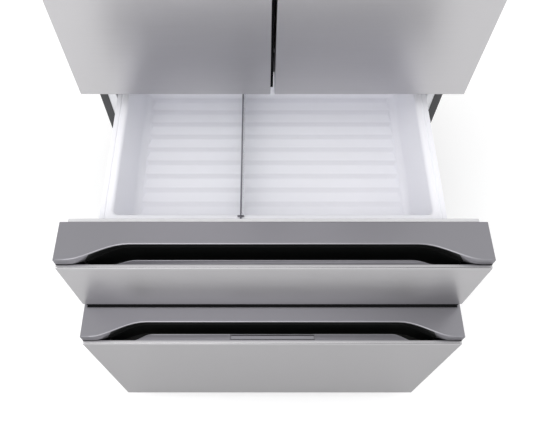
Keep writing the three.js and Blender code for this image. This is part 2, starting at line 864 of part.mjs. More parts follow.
// Stainless wrap of a drawer front: face, sides, bottom and the narrow ledge at the top.
function frontSkin(foot, faceTop) {
  const outer = block([-half, half], [0, frontDepth], [foot, faceTop]);
  const inner = block([steel - half, half - steel], [steel, frontDepth + 1], [foot + steel, faceTop - steel]);
  const topOpening = block([steel - half, half - steel], [ledgeDepth, frontDepth + 1], [foot + steel, faceTop + 1]);
  return outer.subtract(inner).subtract(topOpening);
}

// Plan of the pocket, which follows the cap's curved edge and reaches in front of the grip lip.
function pocketPlan(wall) {
  const shift = 2 * fit + wall;
  const shape = new THREE.Shape();
  shape.moveTo(recessOuter, 0);
  shape.lineTo(-recessOuter, 0);
  pocketLine(shape, recessOuter, recessInner, ledgeDepth - shift, recessDepth - shift);
  return shape;
}

// Black tub under the recess. Its back wall rises behind the cap's edge and slopes down towards
// both ends, and the rest ends at the lip.
function pocket(faceTop, capTop) {
  const foot = faceTop - pocketDrop;
  const front = ledgeDepth + fit;
  const lipFoot = faceTop - lipThickness - fit;
  const frame = block([-pocketEnd, pocketEnd], [front, frontDepth], [foot, capTop]);
  const mould = block(
    [pocketWall - pocketEnd, pocketEnd - pocketWall],
    [front + pocketWall, frontDepth],
    [foot + pocketWall, capTop],
  );
  const top = capTop - pocketTopDrop;
  const shoulders = [-1, 1].map((side) =>
    fromFront(
      outline([
        [side * recessInner, top + 1],
        [side * (pocketEnd + 1), faceTop],
        [side * (pocketEnd + 1), top + 1],
      ]),
      [0, frontDepth],
    ),
  );
  const tub = fromAbove(pocketPlan(0), [foot, top]).intersect(frame).subtract(joined(shoulders));
  const hollow = fromAbove(pocketPlan(pocketWall), [foot, capTop]).intersect(mould);
  const lipRoom = fromAbove(pocketPlan(pocketWall), [lipFoot, capTop]);
  return tub.subtract(hollow).subtract(lipRoom);
}

// White inner panel of a drawer front, raised inside the gasket and above the compartment's floor.
function frontPanel(foot, faceTop, raisedHalf, roomFloor) {
  const inset = steel + fit;
  const sheet = block(
    [inset - half, half - inset],
    [frontDepth - panelSheet, frontDepth],
    [foot + inset, faceTop - lipThickness - fit],
  );
  const raised = block(
    [-raisedHalf, raisedHalf],
    [frontDepth - 1, binFront - fit],
    [roomFloor + panelRoom, faceTop - lipThickness - 2 * gasketInset],
  );
  return joined([sheet, raised]);
}

function drawerGasket(foot, top) {
  return gasket([gasketInset - half, half - gasketInset], [foot + gasketInset, top - gasketTopInset]);
}

// Slides --------------------------------------------------------------------------------------

// C-shaped track on the compartment's side wall.
function track(side, wallX, z, [y0, y1]) {
  const x = [wallX - fit - trackThick, wallX - fit];
  const body = block(mirrored(side, ...x), [y0, y1], [z, z + trackHeight]);
  const channel = block(
    mirrored(side, x[0] + trackWall, x[1] - trackWall),
    [y0 - 1, y1 + 1],
    [z + trackWall, z + trackHeight - trackWall],
  );
  const mouth = block(
    mirrored(side, x[0] - 1, x[0] + trackWall + 1),
    [y0 - 1, y1 + 1],
    [z + trackHeight / 2 - railWeb / 2 - fit, z + trackHeight / 2 + railWeb / 2 + fit],
  );
  return body.subtract(channel).subtract(mouth);
}

// Moving frame of a drawer: a runner in each track, an upright that carries the bin's rim, and a
// cross bar at the back.
function railFrame(wallX, trackZ, rimFoot, uprightX, [y0, y1]) {
  const runnerX = wallX - fit - trackWall - (trackThick - 2 * trackWall + railThick) / 2;
  const webZ = trackZ + trackHeight / 2 - railWeb / 2;
  const play = trackWall + fit;
  const sides = [-1, 1].flatMap((side) => [
    block(mirrored(side, runnerX, runnerX + railThick), [y0, y1], [trackZ + play, trackZ + trackHeight - play]),
    block(mirrored(side, uprightX, runnerX + 1), [y0, y1], [webZ, webZ + railWeb]),
    block(mirrored(side, uprightX, uprightX + railWeb), [y0, y1], [webZ, rimFoot - fit]),
  ]);
  const bar = block(
    [-uprightX - 1, uprightX + 1],
    [y1 - crossBar, y1],
    [rimFoot - fit - 2 * crossBar, rimFoot - fit],
  );
  return joined([...sides, bar]);
}

// Middle drawer -------------------------------------------------------------------------------

const middleFaceTop = middleTop - middleCapHeight;
const middleRim = middleTop - middleBinTop;
const middleBinFoot = middleRim - middleBinHeight;
const middleTrackZ = middleRim - middleTrackDrop - trackHeight;

// Opaque bin with a wide rim, drafted walls and a ribbed floor.
function middleBin() {
  const y = [binFront, binFront + middleBinDepth];
  const rimWidth = middleRimWidth;
  const draft = binDraft;
  const rim = block([-middleRimHalf, middleRimHalf], y, [middleRim - binWall, middleRim]);
  const tubY = [y[0] + rimWidth, y[1] - rimWidth];
  const tub = hopper(
    { x: [-middleMouthHalf - binWall, middleMouthHalf + binWall], y: [tubY[0] - binWall, tubY[1] + binWall] },
    {
      x: [-middleBinFloorHalf - binWall, middleBinFloorHalf + binWall],
      y: [tubY[0] + draft - binWall, tubY[1] - draft + binWall],
    },
    [middleBinFoot, middleRim - 1],
  );
  const room = hopper(
    { x: [-middleMouthHalf, middleMouthHalf], y: tubY },
    { x: [-middleBinFloorHalf, middleBinFloorHalf], y: [tubY[0] + draft, tubY[1] - draft] },
    [middleBinFoot + binWall, middleRim + 1],
  );
  const floor = middleBinFoot + binWall;
  const middle = (tubY[0] + tubY[1]) / 2;
  const ribs = Array.from({ length: ribCount }, (_, i) => {
    const y0 = middle + (i - (ribCount - 1) / 2) * ribPitch;
    return fromSide(
      outline([
        [y0 - ribWidth / 2, floor - 1],
        [y0 + ribWidth / 2, floor - 1],
        [y0 + ribWidth / 2 - ribHeight, floor + ribHeight],
        [y0 - ribWidth / 2 + ribHeight, floor + ribHeight],
      ]),
      [-ribHalf, ribHalf],
    );
  });
  return joined([rim.add(tub).subtract(room), ...ribs]);
}

// Divider plate across the bin that slides sideways on the rims, with a clip at each end.
function binDivider() {
  const rimWidth = middleRimHalf - middleMouthHalf;
  const y = [binFront + rimWidth, binFront + middleBinDepth - rimWidth];
  const draft = middleMouthHalf - middleBinFloorHalf;
  const x = [dividerX - dividerSheet / 2, dividerX + dividerSheet / 2];
  const z = [middleBinFoot + binWall + ribHeight + 2, middleRim + 5];
  const sheet = fromSide(
    outline([
      [y[0] + 1, z[1]],
      [y[0] + 1, middleRim],
      [y[0] + draft + 1, z[0]],
      [y[1] - draft - 1, z[0]],
      [y[1] - 1, middleRim],
      [y[1] - 1, z[1]],
    ]),
    x,
  );
  const clips = [
    [y[0] - 14, y[0] + 2],
    [y[1] - 2, y[1] + 14],
  ].map((span) =>
    block([dividerX - dividerClip / 2, dividerX + dividerClip / 2], span, [middleRim + fit, z[1]]),
  );
  return joined([sheet, ...clips]);
}

// Freezer drawer ------------------------------------------------------------------------------

const lowerFaceTop = lowerTop - lowerCapHeight;
const freezerRim = lowerTop - freezerBinTop;
const freezerBinFoot = freezerRim - freezerBinHeight;
const freezerTrackZ = freezerRim - freezerTrackDrop - trackHeight;

function freezerBin() {
  const y = [binFront, binFront + freezerBinDepth];
  const rimWidth = freezerRimWidth;
  const draft = binDraft;
  const rim = block([-freezerRimHalf, freezerRimHalf], y, [freezerRim - binWall, freezerRim]);
  const tubY = [y[0] + rimWidth, y[1] - rimWidth];
  const tub = hopper(
    { x: [-freezerMouthHalf - binWall, freezerMouthHalf + binWall], y: [tubY[0] - binWall, tubY[1] + binWall] },
    {
      x: [-freezerBinFloorHalf - binWall, freezerBinFloorHalf + binWall],
      y: [tubY[0] + draft - binWall, tubY[1] - draft + binWall],
    },
    [freezerBinFoot, freezerRim - 1],
  );
  const room = hopper(
    { x: [-freezerMouthHalf, freezerMouthHalf], y: tubY },
    { x: [-freezerBinFloorHalf, freezerBinFloorHalf], y: [tubY[0] + draft, tubY[1] - draft] },
    [freezerBinFoot + binWall, freezerRim + 1],
  );
  return rim.add(tub).subtract(room);
}

// Shallow basket that slides on the freezer bin's side rims.
function freezerBasket() {
  const y1 = binFront + freezerBinDepth - (freezerRimHalf - freezerMouthHalf);
  const y = [y1 - basketDepth, y1];
  const z = [freezerRim + fit, freezerRim + fit + basketHeight];
  const x = freezerRimHalf - 12;
  const outer = block([-x, x], y, z);
  const room = block(
    [basketWire - x, x - basketWire],
    [y[0] + basketWire, y[1] - basketWire],
    [z[0] + basketWire, z[1] + 1],
  );
  return outer.subtract(room);
}

// Release lever in the grip lip, which turns down on a pin along its front edge.
const leverY = [leverFront, leverFront + leverDepth];
const leverPivot = [leverY[0] + leverPin, lowerFaceTop - lipThickness];
const leverHalf = leverLength / 2;

function lever() {
  const top = lowerFaceTop + 1;
  const bar = block([-leverHalf, leverHalf], leverY, [top - leverThickness, top]);
  const web = block(
    [-leverHalf, leverHalf],
    [leverY[0], leverY[0] + 2 * leverPin],
    [leverPivot[1], top - leverThickness + 1],
  );
  const pin = rod('x', [-leverHalf - 4, leverHalf + 4], leverPivot, leverPin, 12);
  return joined([bar, web, pin]);
}

// The freezer drawer's cap has an opening for the lever and an ear with a bearing at each end.
function lowerCap() {
  const cap = frontCap(lowerFaceTop, lowerTop, lowerLipDepth);
  const opening = block(
    [-leverHalf - leverGap, leverHalf + leverGap],
    [leverY[0] - leverGap, leverY[1] + leverSwing],
    [lowerFaceTop - lipThickness - 1, lowerFaceTop + 2],
  );
  const ears = [-1, 1].map((side) =>
    block(
      mirrored(side, leverHalf + leverGap, leverHalf + 6),
      [leverY[0] - leverGap, leverY[1] + leverGap],
      [leverPivot[1] - 4, lowerFaceTop - lipThickness + 1],
    ),
  );
  const bearing = rod('x', [-leverHalf - 5, leverHalf + 5], leverPivot, leverPin + fit, 12);
  return joined([cap.subtract(opening), ...ears]).subtract(bearing);
}

// Fridge interior -----------------------------------------------------------------------------

const shelfBack = fridgeBack - fit;

function shelf(top, front) {
  const x = fridgeHalf - fit;
  const glass = block([-x, x], [front, shelfBack], [top - shelfSheet, top]);
  const trim = block([-x, x], [front, front + 12], [top - 3 * shelfSheet, top]);
  return joined([glass, trim]);
}

// Crisper drawer that stands on the fridge's floor.
function crisper(side) {
  const x = [crisperGap / 2, fridgeHalf - crisperSideGap];
  const y = [caseFront + crisperFront, fridgeBack - crisperBack];
  const z = [fridgeFloor + fit, fridgeFloor + fit + crisperHeight];
  const outer = block(mirrored(side, ...x), y, z);
  const room = block(
    mirrored(side, x[0] + crisperWall, x[1] - crisperWall),
    [y[0] + 2 * crisperWall, y[1] - crisperWall],
    [z[0] + crisperWall, z[1] + 1],
  );
  return outer.subtract(room);
}

// Feet and rollers ----------------------------------------------------------------------------

function levellingFoot(side) {
  const place = [side * (half - footInset), caseFront + footBack];
  const pad = rod('z', [0, footThick], place, footRadius, 20);
  const stud = rod('z', [footThick - 1, panLift - fit], place, studRadius, 12);
  return pad.add(stud);
}

function rearRoller(side) {
  const x = side * (half - footInset);
  const place = [caseBack - rollerBack, rollerRadius];
  const wheel = rod('x', [x - rollerWidth / 2, x + rollerWidth / 2], place, rollerRadius, 24);
  const bore = rod('x', [x - rollerWidth, x + rollerWidth], place, axleRadius + fit, 16);
  return wheel.subtract(bore);
}

// Assembly ------------------------------------------------------------------------------------

const sides = [
  ['left', -1],
  ['right', 1],
];

const cabinet = new THREE.Group();
cabinet.add(
  part('outer_case', outerCase(), darkPaint),
  part('back_panel', backPanel(), galvanised),
  part('foam_body', foamBody(), foam),
  part('fridge_liner', fridgeLiner(), whiteLiner),
  part('freezer_liner', freezerLiner(), whiteLiner),
  part('upper_mullion', mullion(upperMullionMid), darkPaint),
  part('lower_mullion', mullion(lowerMullionMid), darkPaint),
  part('base_pan', basePan(), galvanised),
  part('toe_grille', toeGrille(), greyPlastic),
  part('rear_cover', rearCover(), galvanised),
  part('compressor', compressor(), blackSteel),
  part('condenser', condenser(), aluminiumFins),
  part('condenser_fan', condenserFan(), blackPlastic),
  part('evaporator', evaporator(), aluminiumFins),
  part('evaporator_cover', evaporatorCover(), whiteLiner),
  part('shelf_upper', shelf(fridgeFloor + shelfTop, caseFront + shelfFront), shelfGlass),
  part('crisper_cover', shelf(fridgeFloor + crisperCoverTop, caseFront + crisperFront), shelfGlass),
);
const middleTrackY = [linerFront + 10, middleBack - 20];
const freezerTrackY = [linerFront + 10, freezerBack - evaporatorDepth - 20];
for (const [name, side] of sides) {
  cabinet.add(
    part(`${name}_top_hinge`, topHinge(side), zincSteel),
    part(`${name}_hinge_cover`, hingeCover(side), greyPlastic),
    part(`${name}_lower_hinge`, lowerHinge(side), zincSteel),
    part(`${name}_middle_track`, track(side, fridgeHalf, middleTrackZ, middleTrackY), zincSteel),
    part(`${name}_freezer_track`, track(side, freezerHalf, freezerTrackZ, freezerTrackY), zincSteel),
    part(`${name}_crisper`, crisper(side), clearPlastic),
    part(`${name}_foot`, levellingFoot(side), blackPlastic),
    part(`${name}_roller`, rearRoller(side), blackPlastic),
  );
}

const doors = new THREE.Group();
for (const [name, side] of sides) {
  doors.add(
    part(`${name}_door_skin`, doorSkin(side), stainless),
    part(`${name}_door_panel`, doorPanel(side), whiteLiner),
    part(`${name}_door_gasket`, doorGasket(side), gasketRubber),
    part(`${name}_door_bin`, doorBin(side), clearPlastic),
  );
}
doors.add(part('door_gap_seal', gapSeal(), blackRubber), part('flip_bar', flipBar(), greyPlastic));

const middleDrawer = new THREE.Group();
middleDrawer.position.y = -middleOpen;
middleDrawer.add(
  part('middle_front_skin', frontSkin(middleFoot, middleFaceTop), stainless),
  part('middle_front_cap', frontCap(middleFaceTop, middleTop, middleLipDepth), greyPlastic),
  part('middle_pocket', pocket(middleFaceTop, middleTop), blackPlastic),
  part('middle_front_panel', frontPanel(middleFoot, middleFaceTop, middleMouthHalf, middleFloor), whiteLiner),
  part('middle_gasket', drawerGasket(middleFoot, middleTop), gasketRubber),
  part('middle_bin', middleBin(), binPlastic),
  part('bin_divider', binDivider(), clearPlastic),
  part(
    'middle_rail_frame',
    railFrame(fridgeHalf, middleTrackZ, middleRim - binWall, middleRimHalf - 8, [
      frontDepth + fit,
      binFront + middleBinDepth + middleTail,
    ]),
    zincSteel,
  ),
);

const freezerDrawer = new THREE.Group();
freezerDrawer.position.y = -lowerOpen;
freezerDrawer.add(
  part('lower_front_skin', frontSkin(lowerFoot, lowerFaceTop), stainless),
  part('lower_front_cap', lowerCap(), greyPlastic),
  part('lower_pocket', pocket(lowerFaceTop, lowerTop), blackPlastic),
  part('lower_lever', lever(), greyPlastic),
  part('lower_front_panel', frontPanel(lowerFoot, lowerFaceTop, freezerMouthHalf, freezerFloor), whiteLiner),
  part('lower_gasket', drawerGasket(lowerFoot, lowerTop), gasketRubber),
  part('freezer_bin', freezerBin(), binPlastic),
  part('freezer_basket', freezerBasket(), binPlastic),
  part(
    'freezer_rail_frame',
    railFrame(freezerHalf, freezerTrackZ, freezerRim - binWall, freezerRimHalf - 8, [
      frontDepth + fit,
      binFront + freezerBinDepth + freezerTail,
    ]),
    zincSteel,
  ),
);

// The origin is the middle of the floor space that the refrigerator takes with its drawers open.
const refrigerator = new THREE.Group();
refrigerator.position.y = -(caseBack - lowerOpen) / 2;
refrigerator.add(cabinet, doors, middleDrawer, freezerDrawer);

export default refrigerator;
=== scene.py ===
from math import radians

import bmesh
import bpy
from mathutils import Matrix, Vector


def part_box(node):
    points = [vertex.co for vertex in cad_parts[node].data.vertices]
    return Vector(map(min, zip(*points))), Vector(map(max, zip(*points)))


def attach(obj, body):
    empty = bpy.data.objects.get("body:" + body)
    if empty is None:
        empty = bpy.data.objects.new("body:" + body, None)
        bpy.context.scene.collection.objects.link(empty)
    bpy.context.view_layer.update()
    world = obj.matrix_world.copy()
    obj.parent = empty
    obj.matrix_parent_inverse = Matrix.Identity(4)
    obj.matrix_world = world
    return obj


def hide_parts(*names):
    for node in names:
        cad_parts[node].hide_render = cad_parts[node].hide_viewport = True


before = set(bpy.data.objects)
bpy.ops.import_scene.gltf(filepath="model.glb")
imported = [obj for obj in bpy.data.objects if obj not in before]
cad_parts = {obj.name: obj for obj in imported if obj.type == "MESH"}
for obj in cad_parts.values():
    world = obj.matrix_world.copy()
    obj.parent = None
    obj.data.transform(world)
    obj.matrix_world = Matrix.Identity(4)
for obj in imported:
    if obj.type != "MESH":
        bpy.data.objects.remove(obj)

scene = bpy.context.scene
scene.view_settings.view_transform = "Standard"
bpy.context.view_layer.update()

# The refrigerator's lower half as a shop photographs it, from above and in front, both drawers
# open. Everything is in metres in the CAD's frame, and sizes in millimetres are times MM.
MM = 0.001


# Camera -----------------------------------------------------------------------------------------
# It stands above the open drawers and looks down at them, a little left of the middle.
camera_data = bpy.data.cameras.new("camera")
camera_data.sensor_width = 36
camera_data.lens = 37.47
camera_data.shift_x = 0.0255
camera_data.clip_end = 50
camera = bpy.data.objects.new("camera", camera_data)
camera.location = (-0.025, -1.082, 1.935)
camera.rotation_euler = (radians(28.33), 0, 0)
scene.collection.objects.link(camera)
scene.camera = camera


# Floor, room and lamps --------------------------------------------------------------------------
# A pale studio floor that the camera sees as white paper, with the object's soft shadow kept.
def linear(hex_colour):
    """An sRGB hex colour as the linear colour that the shaders take."""
    parts = [int(hex_colour[i : i + 2], 16) / 255 for i in (0, 2, 4)]
    curve = [c / 12.92 if c <= 0.04045 else ((c + 0.055) / 1.055) ** 2.4 for c in parts]
    return (*curve, 1.0)


def add_node(tree, kind, inputs=None, **settings):
    """A node of that kind, with its settings, and its inputs set to values or linked to sockets."""
    made = tree.nodes.new(kind)
    for name, value in settings.items():
        setattr(made, name, value)
    for name, value in (inputs or {}).items():
        if isinstance(value, bpy.types.NodeSocket):
            tree.links.new(value, made.inputs[name])
        else:
            made.inputs[name].default_value = value
    return made


def new_material(name, colour, roughness, metallic=0.0, **sockets):
    """A material with a Principled shader, its constant values set on the shader's own sockets."""
    material = bpy.data.materials.new(name)
    material.use_nodes = True
    shader = material.node_tree.nodes["Principled BSDF"]
    shader.inputs["Base Color"].default_value = linear(colour)
    shader.inputs["Roughness"].default_value = roughness
    shader.inputs["Metallic"].default_value = metallic
    for socket, value in sockets.items():
        shader.inputs[socket.replace("_", " ")].default_value = value
    return material, material.node_tree, shader


def seen_white(tree):
    """A socket that is 1 for what the camera sees, directly, mirrored or through glass, else 0."""
    path = add_node(tree, "ShaderNodeLightPath")
    seen = path.outputs["Is Camera Ray"]
    for ray in ("Is Glossy Ray", "Is Transmission Ray"):
        either = add_node(
            tree, "ShaderNodeMath", {0: seen, 1: path.outputs[ray]}, operation="MAXIMUM",
        )
        seen = either.outputs[0]
    return seen


WHITE = (1, 1, 1, 1)
FLOOR_HALF = 6.0
FLOOR_GLOW = 0.18  # little enough to keep the object's shadow
ROOM_LIGHT = 0.85
bm = bmesh.new()
bmesh.ops.create_grid(bm, x_segments=1, y_segments=1, size=FLOOR_HALF)
floor_data = bpy.data.meshes.new("floor")
bm.to_mesh(floor_data)
bm.free()
floor = bpy.data.objects.new("floor", floor_data)
scene.collection.objects.link(floor)

floor_paint, tree, shader = new_material("matt white floor paint", "F2F2F2", 0.9)
glow = add_node(
    tree, "ShaderNodeMath", {0: seen_white(tree), 1: FLOOR_GLOW}, operation="MULTIPLY",
)
tree.links.new(glow.outputs[0], shader.inputs["Emission Strength"])
shader.inputs["Emission Color"].default_value = WHITE
floor_data.materials.append(floor_paint)

room = bpy.data.worlds.new("room")
room.use_nodes = True
scene.world = room
tree = room.node_tree
tree.nodes.clear()
soft = add_node(tree, "ShaderNodeBackground", {"Color": WHITE, "Strength": ROOM_LIGHT})
plain = add_node(tree, "ShaderNodeBackground", {"Color": WHITE, "Strength": 1.0})
mixed = add_node(
    tree, "ShaderNodeMixShader", {0: seen_white(tree), 1: soft.outputs[0], 2: plain.outputs[0]},
)
add_node(tree, "ShaderNodeOutputWorld", {"Surface": mixed.outputs[0]})


def area_lamp(name, place, aim, size, power):
    """A square soft box at place that faces the point aim."""
    data = bpy.data.lights.new(name, "AREA")
    data.size = size
    data.energy = power
    lamp = bpy.data.objects.new(name, data)
    lamp.location = place
    lamp.rotation_euler = (Vector(aim) - Vector(place)).to_track_quat("-Z", "Y").to_euler()
    scene.collection.objects.link(lamp)


area_lamp("key", (-0.4, -1.9, 3.6), (0, -0.4, 0.8), 2.6, 35)
area_lamp("left", (-2.8, -1.2, 2.6), (0, -0.4, 0.7), 2.2, 11)
area_lamp("right", (2.8, -1.2, 2.6), (0, -0.4, 0.7), 2.2, 5)
area_lamp("front", (-0.8, -3.2, 2.1), (0, -0.5, 0.8), 1.3, 14)
area_lamp("back", (0.0, 3.0, 3.2), (0, 0.3, 1.0), 2.4, 30)


# Cabinet case, mullions -------------------------------------------------------------------------
# One wrap of folded steel sheet with a powder coat, closed at the front by two steel rails of the
# same finish. The coat has a faint orange peel and soft edges.
TOUCH = 0.01 * MM  # points nearer than this are one point
NEAR = 0.2 * MM  # and points nearer than this to a plane lie on it


def copy_of(node):
    """A CAD node's mesh in a bmesh, with its triangles joined to whole faces."""
    bm = bmesh.new()
    bm.from_mesh(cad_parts[node].data)
    bmesh.ops.remove_doubles(bm, verts=bm.verts, dist=TOUCH)
    bmesh.ops.dissolve_limit(bm, angle_limit=radians(0.5), verts=bm.verts, edges=bm.edges)
    return bm


def soften(bm, radius, segments=2, wanted=None):
    """Rounds the sharp edges, or those of them that are wanted."""
    edges = [e for e in bm.edges if len(e.link_faces) == 2 and e.calc_face_angle(0) > radians(30)]
    if wanted:
        edges = [e for e in edges if wanted(e)]
    bmesh.ops.bevel(
        bm, geom=edges, offset=radius, offset_type="OFFSET", segments=segments, profile=0.5,
        affect="EDGES", clamp_overlap=True, material=-1,
    )


def add_piece(name, bm, material, body, replaced=(), smooth=35, wall=0.0):
    """An object of the bmesh that rides on a CAD body.

    Edges up to smooth degrees look round, and wall is the thickness that a bare sheet gets.
    """
    mesh = bpy.data.meshes.new(name)
    bm.to_mesh(mesh)
    bm.free()
    mesh.materials.append(material)
    mesh.shade_smooth()
    mesh.set_sharp_from_angle(angle=radians(smooth))
    piece = bpy.data.objects.new(name, mesh)
    scene.collection.objects.link(piece)
    if wall:
        sheet = piece.modifiers.new("wall", "SOLIDIFY")
        sheet.thickness = wall
        sheet.offset = -1
    normals = piece.modifiers.new("normals", "WEIGHTED_NORMAL")
    normals.keep_sharp = True
    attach(piece, body)
    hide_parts(*replaced)


def dress(node, material, body, radius, segments=2, wanted=None):
    """Puts a softened copy in the place of a CAD node."""
    bm = copy_of(node)
    soften(bm, radius, segments, wanted)
    add_piece(f"{node}_shown", bm, material, body, [node])


CASE_FOLD = 0.45 * MM
RAIL_FOLD = 0.3 * MM
powder_coat, tree, shader = new_material("powder-coated steel", "37373A", 0.45)
place = add_node(tree, "ShaderNodeTexCoord")
peel = add_node(
    tree, "ShaderNodeTexNoise",
    {"Vector": place.outputs["Object"], "Scale": 1 / (2.5 * MM), "Detail": 1.0},
)
skin = add_node(
    tree, "ShaderNodeBump",
    {"Height": peel.outputs["Fac"], "Strength": 0.25, "Distance": 0.05 * MM},
)
tree.links.new(skin.outputs["Normal"], shader.inputs["Normal"])

dress("outer_case", powder_coat, "cabinet", CASE_FOLD)
for node in ("upper_mullion", "lower_mullion"):
    dress(node, powder_coat, "cabinet", RAIL_FOLD, 1)


# Back panel, base pan, compressor cover ---------------------------------------------------------
# Galvanised sheet, which shows faint zinc spangles. Hexagon screws hold the compressor cover,
# plated with zinc that has a cloudy, uneven gloss.
galvanised, tree, shader = new_material("galvanised sheet", "B4B8BA", 0.42, 1.0)
SPANGLE = 14 * MM
place = add_node(tree, "ShaderNodeTexCoord")
flakes = add_node(
    tree, "ShaderNodeTexVoronoi",
    {"Vector": place.outputs["Object"], "Scale": 1 / SPANGLE},
)
tone = add_node(
    tree, "ShaderNodeMix",
    {0: flakes.outputs["Color"], 6: linear("A9AEB1"), 7: linear("BFC2C3")}, data_type="RGBA",
)
tree.links.new(tone.outputs[2], shader.inputs["Base Color"])
gloss = add_node(
    tree, "ShaderNodeMapRange",
    {"Value": flakes.outputs["Distance"], "To Min": 0.34, "To Max": 0.5},
)
tree.links.new(gloss.outputs[0], shader.inputs["Roughness"])

SHEET_EDGE = 0.4 * MM
for node in ("back_panel", "base_pan", "rear_cover"):
    dress(node, galvanised, "cabinet", SHEET_EDGE, 1)


zinc, tree, shader = new_material("bright zinc-plated steel", "C6C8CB", 0.34, 0.9)
place = add_node(tree, "ShaderNodeTexCoord")
cloud = add_node(
    tree, "ShaderNodeTexNoise",
    {"Vector": place.outputs["Object"], "Scale": 1 / (30 * MM), "Detail": 4.0},
)
gloss = add_node(
    tree, "ShaderNodeMapRange", {"Value": cloud.outputs["Fac"], "To Min": 0.26, "To Max": 0.46},
)
tree.links.new(gloss.outputs[0], shader.inputs["Roughness"])

SCREWS = 7  # along each of the cover's two long edges
SCREW_FROM_END = 12 * MM
SCREW_FROM_EDGE = 5 * MM
COVER_SHEET = 2 * MM  # the heads stand on the sheet's outer face
HEAD_RADIUS = 2.6 * MM
HEAD_HEIGHT = 2.0 * MM
low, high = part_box("rear_cover")
bm = bmesh.new()
for number in range(SCREWS):
    x = low.x + SCREW_FROM_END + number * (high.x - low.x - 2 * SCREW_FROM_END) / (SCREWS - 1)
    for z in (high.z - SCREW_FROM_EDGE, low.z + SCREW_FROM_EDGE):
        foot = Matrix.Translation((x, low.y + COVER_SHEET, z))
        foot = foot @ Matrix.Rotation(radians(-90), 4, "X")
        for radius, length, sides in (
            (1.35 * HEAD_RADIUS, 0.35 * HEAD_HEIGHT, 20), (HEAD_RADIUS, HEAD_HEIGHT, 6),
        ):
            bmesh.ops.create_cone(
                bm, cap_ends=True, segments=sides, radius1=radius, radius2=0.94 * radius,
                depth=length, matrix=foot @ Matrix.Translation((0, 0, length / 2)),
            )
add_piece("rear_cover_screws", bm, zinc, "cabinet")


# Insulation and liners --------------------------------------------------------------------------
# Polyurethane foam with coarse cells fills the walls and never shows outside. The liners are white
# high-impact polystyrene sheet, vacuum formed, so they are glossy and faintly wavy, and their inner
# corners are well rounded.
foam, tree, shader = new_material("polyurethane foam", "D9C594", 0.95)
place = add_node(tree, "ShaderNodeTexCoord")
cells = add_node(
    tree, "ShaderNodeTexVoronoi", {"Vector": place.outputs["Object"], "Scale": 1 / (3 * MM)},
)
dents = add_node(
    tree, "ShaderNodeBump",
    {"Height": cells.outputs["Distance"], "Strength": 0.6, "Distance": MM},
)
tree.links.new(dents.outputs["Normal"], shader.inputs["Normal"])
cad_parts["foam_body"].data.materials.clear()
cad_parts["foam_body"].data.materials.append(foam)

white_liner, tree, shader = new_material("vacuum-formed polystyrene", "ECECF0", 0.32)
place = add_node(tree, "ShaderNodeTexCoord")
drawn = add_node(
    tree, "ShaderNodeTexNoise",
    {"Vector": place.outputs["Object"], "Scale": 1 / (6 * MM), "Detail": 2.0},
)
waves = add_node(
    tree, "ShaderNodeBump",
    {"Height": drawn.outputs["Fac"], "Strength": 0.2, "Distance": 0.1 * MM},
)
tree.links.new(waves.outputs["Normal"], shader.inputs["Normal"])

LINER_CORNER = 12 * MM
LINER_EDGE = 1 * MM
for node in ("fridge_liner", "freezer_liner"):
    # Only the hollow corners, as inside a box, are rounded.
    dress(
        node, white_liner, "cabinet", LINER_CORNER, 4, lambda e: not e.is_convex,
    )
dress("evaporator_cover", white_liner, "cabinet", LINER_EDGE)


# Stainless wraps of the doors and drawer fronts -------------------------------------------------
# Each is one sheet of stainless steel, brushed sideways and folded round its edges with a small
# radius. The brush marks spread its reflections, most of all upwards and downwards.
stainless, tree, shader = new_material(
    "brushed stainless steel", "BBBABC", 0.32, 1.0, Specular_Tint=(0.5, 0.5, 0.5, 1),
)
BRUSH_LENGTH = 140 * MM
BRUSH_WIDTH = 1.1 * MM  # real marks are about a tenth of this, too fine to show
place = add_node(tree, "ShaderNodeTexCoord")
stretch = add_node(
    tree, "ShaderNodeMapping",
    {
        "Vector": place.outputs["Object"],
        "Scale": (1 / BRUSH_LENGTH, 1 / BRUSH_WIDTH, 1 / BRUSH_WIDTH),
    },
)
lines = add_node(
    tree, "ShaderNodeTexNoise",
    {"Vector": stretch.outputs[0], "Scale": 1.0, "Detail": 3.0, "Roughness": 0.6},
)
tint = add_node(
    tree, "ShaderNodeMix",
    {0: lines.outputs["Fac"], 6: linear("B6B5B7"), 7: linear("C0BFC1")}, data_type="RGBA",
)
tree.links.new(tint.outputs[2], shader.inputs["Base Color"])
gloss = add_node(
    tree, "ShaderNodeMapRange", {"Value": lines.outputs["Fac"], "To Min": 0.28, "To Max": 0.36},
)
tree.links.new(gloss.outputs[0], shader.inputs["Roughness"])
grooves = add_node(
    tree, "ShaderNodeBump",
    {"Height": lines.outputs["Fac"], "Strength": 0.12, "Distance": 0.02 * MM},
)
tree.links.new(grooves.outputs["Normal"], shader.inputs["Normal"])

BEND = 2.8 * MM
TOP_BEND = 4.2 * MM
BEND_END = 5 * MM  # the top bend's two ends lie within this of the front's upper corners


def outer_fold(node):
    """A test for the edges of a folded sheet that lie on the front or the outside of its box."""
    low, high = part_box(node)

    def on_outside(edge):
        middle = (edge.verts[0].co + edge.verts[1].co) / 2
        sides = (
            abs(middle.x - low.x) < NEAR, abs(middle.x - high.x) < NEAR,
            abs(middle.z - low.z) < NEAR, abs(middle.z - high.z) < NEAR,
            abs(middle.y - low.y) < NEAR,
        )
        return sum(sides) > 1 and edge.is_convex

    return on_outside


for node, body in (("left_door_skin", "left_door"), ("right_door_skin", "right_door")):
    dress(node, stainless, body, BEND, 5, outer_fold(node))

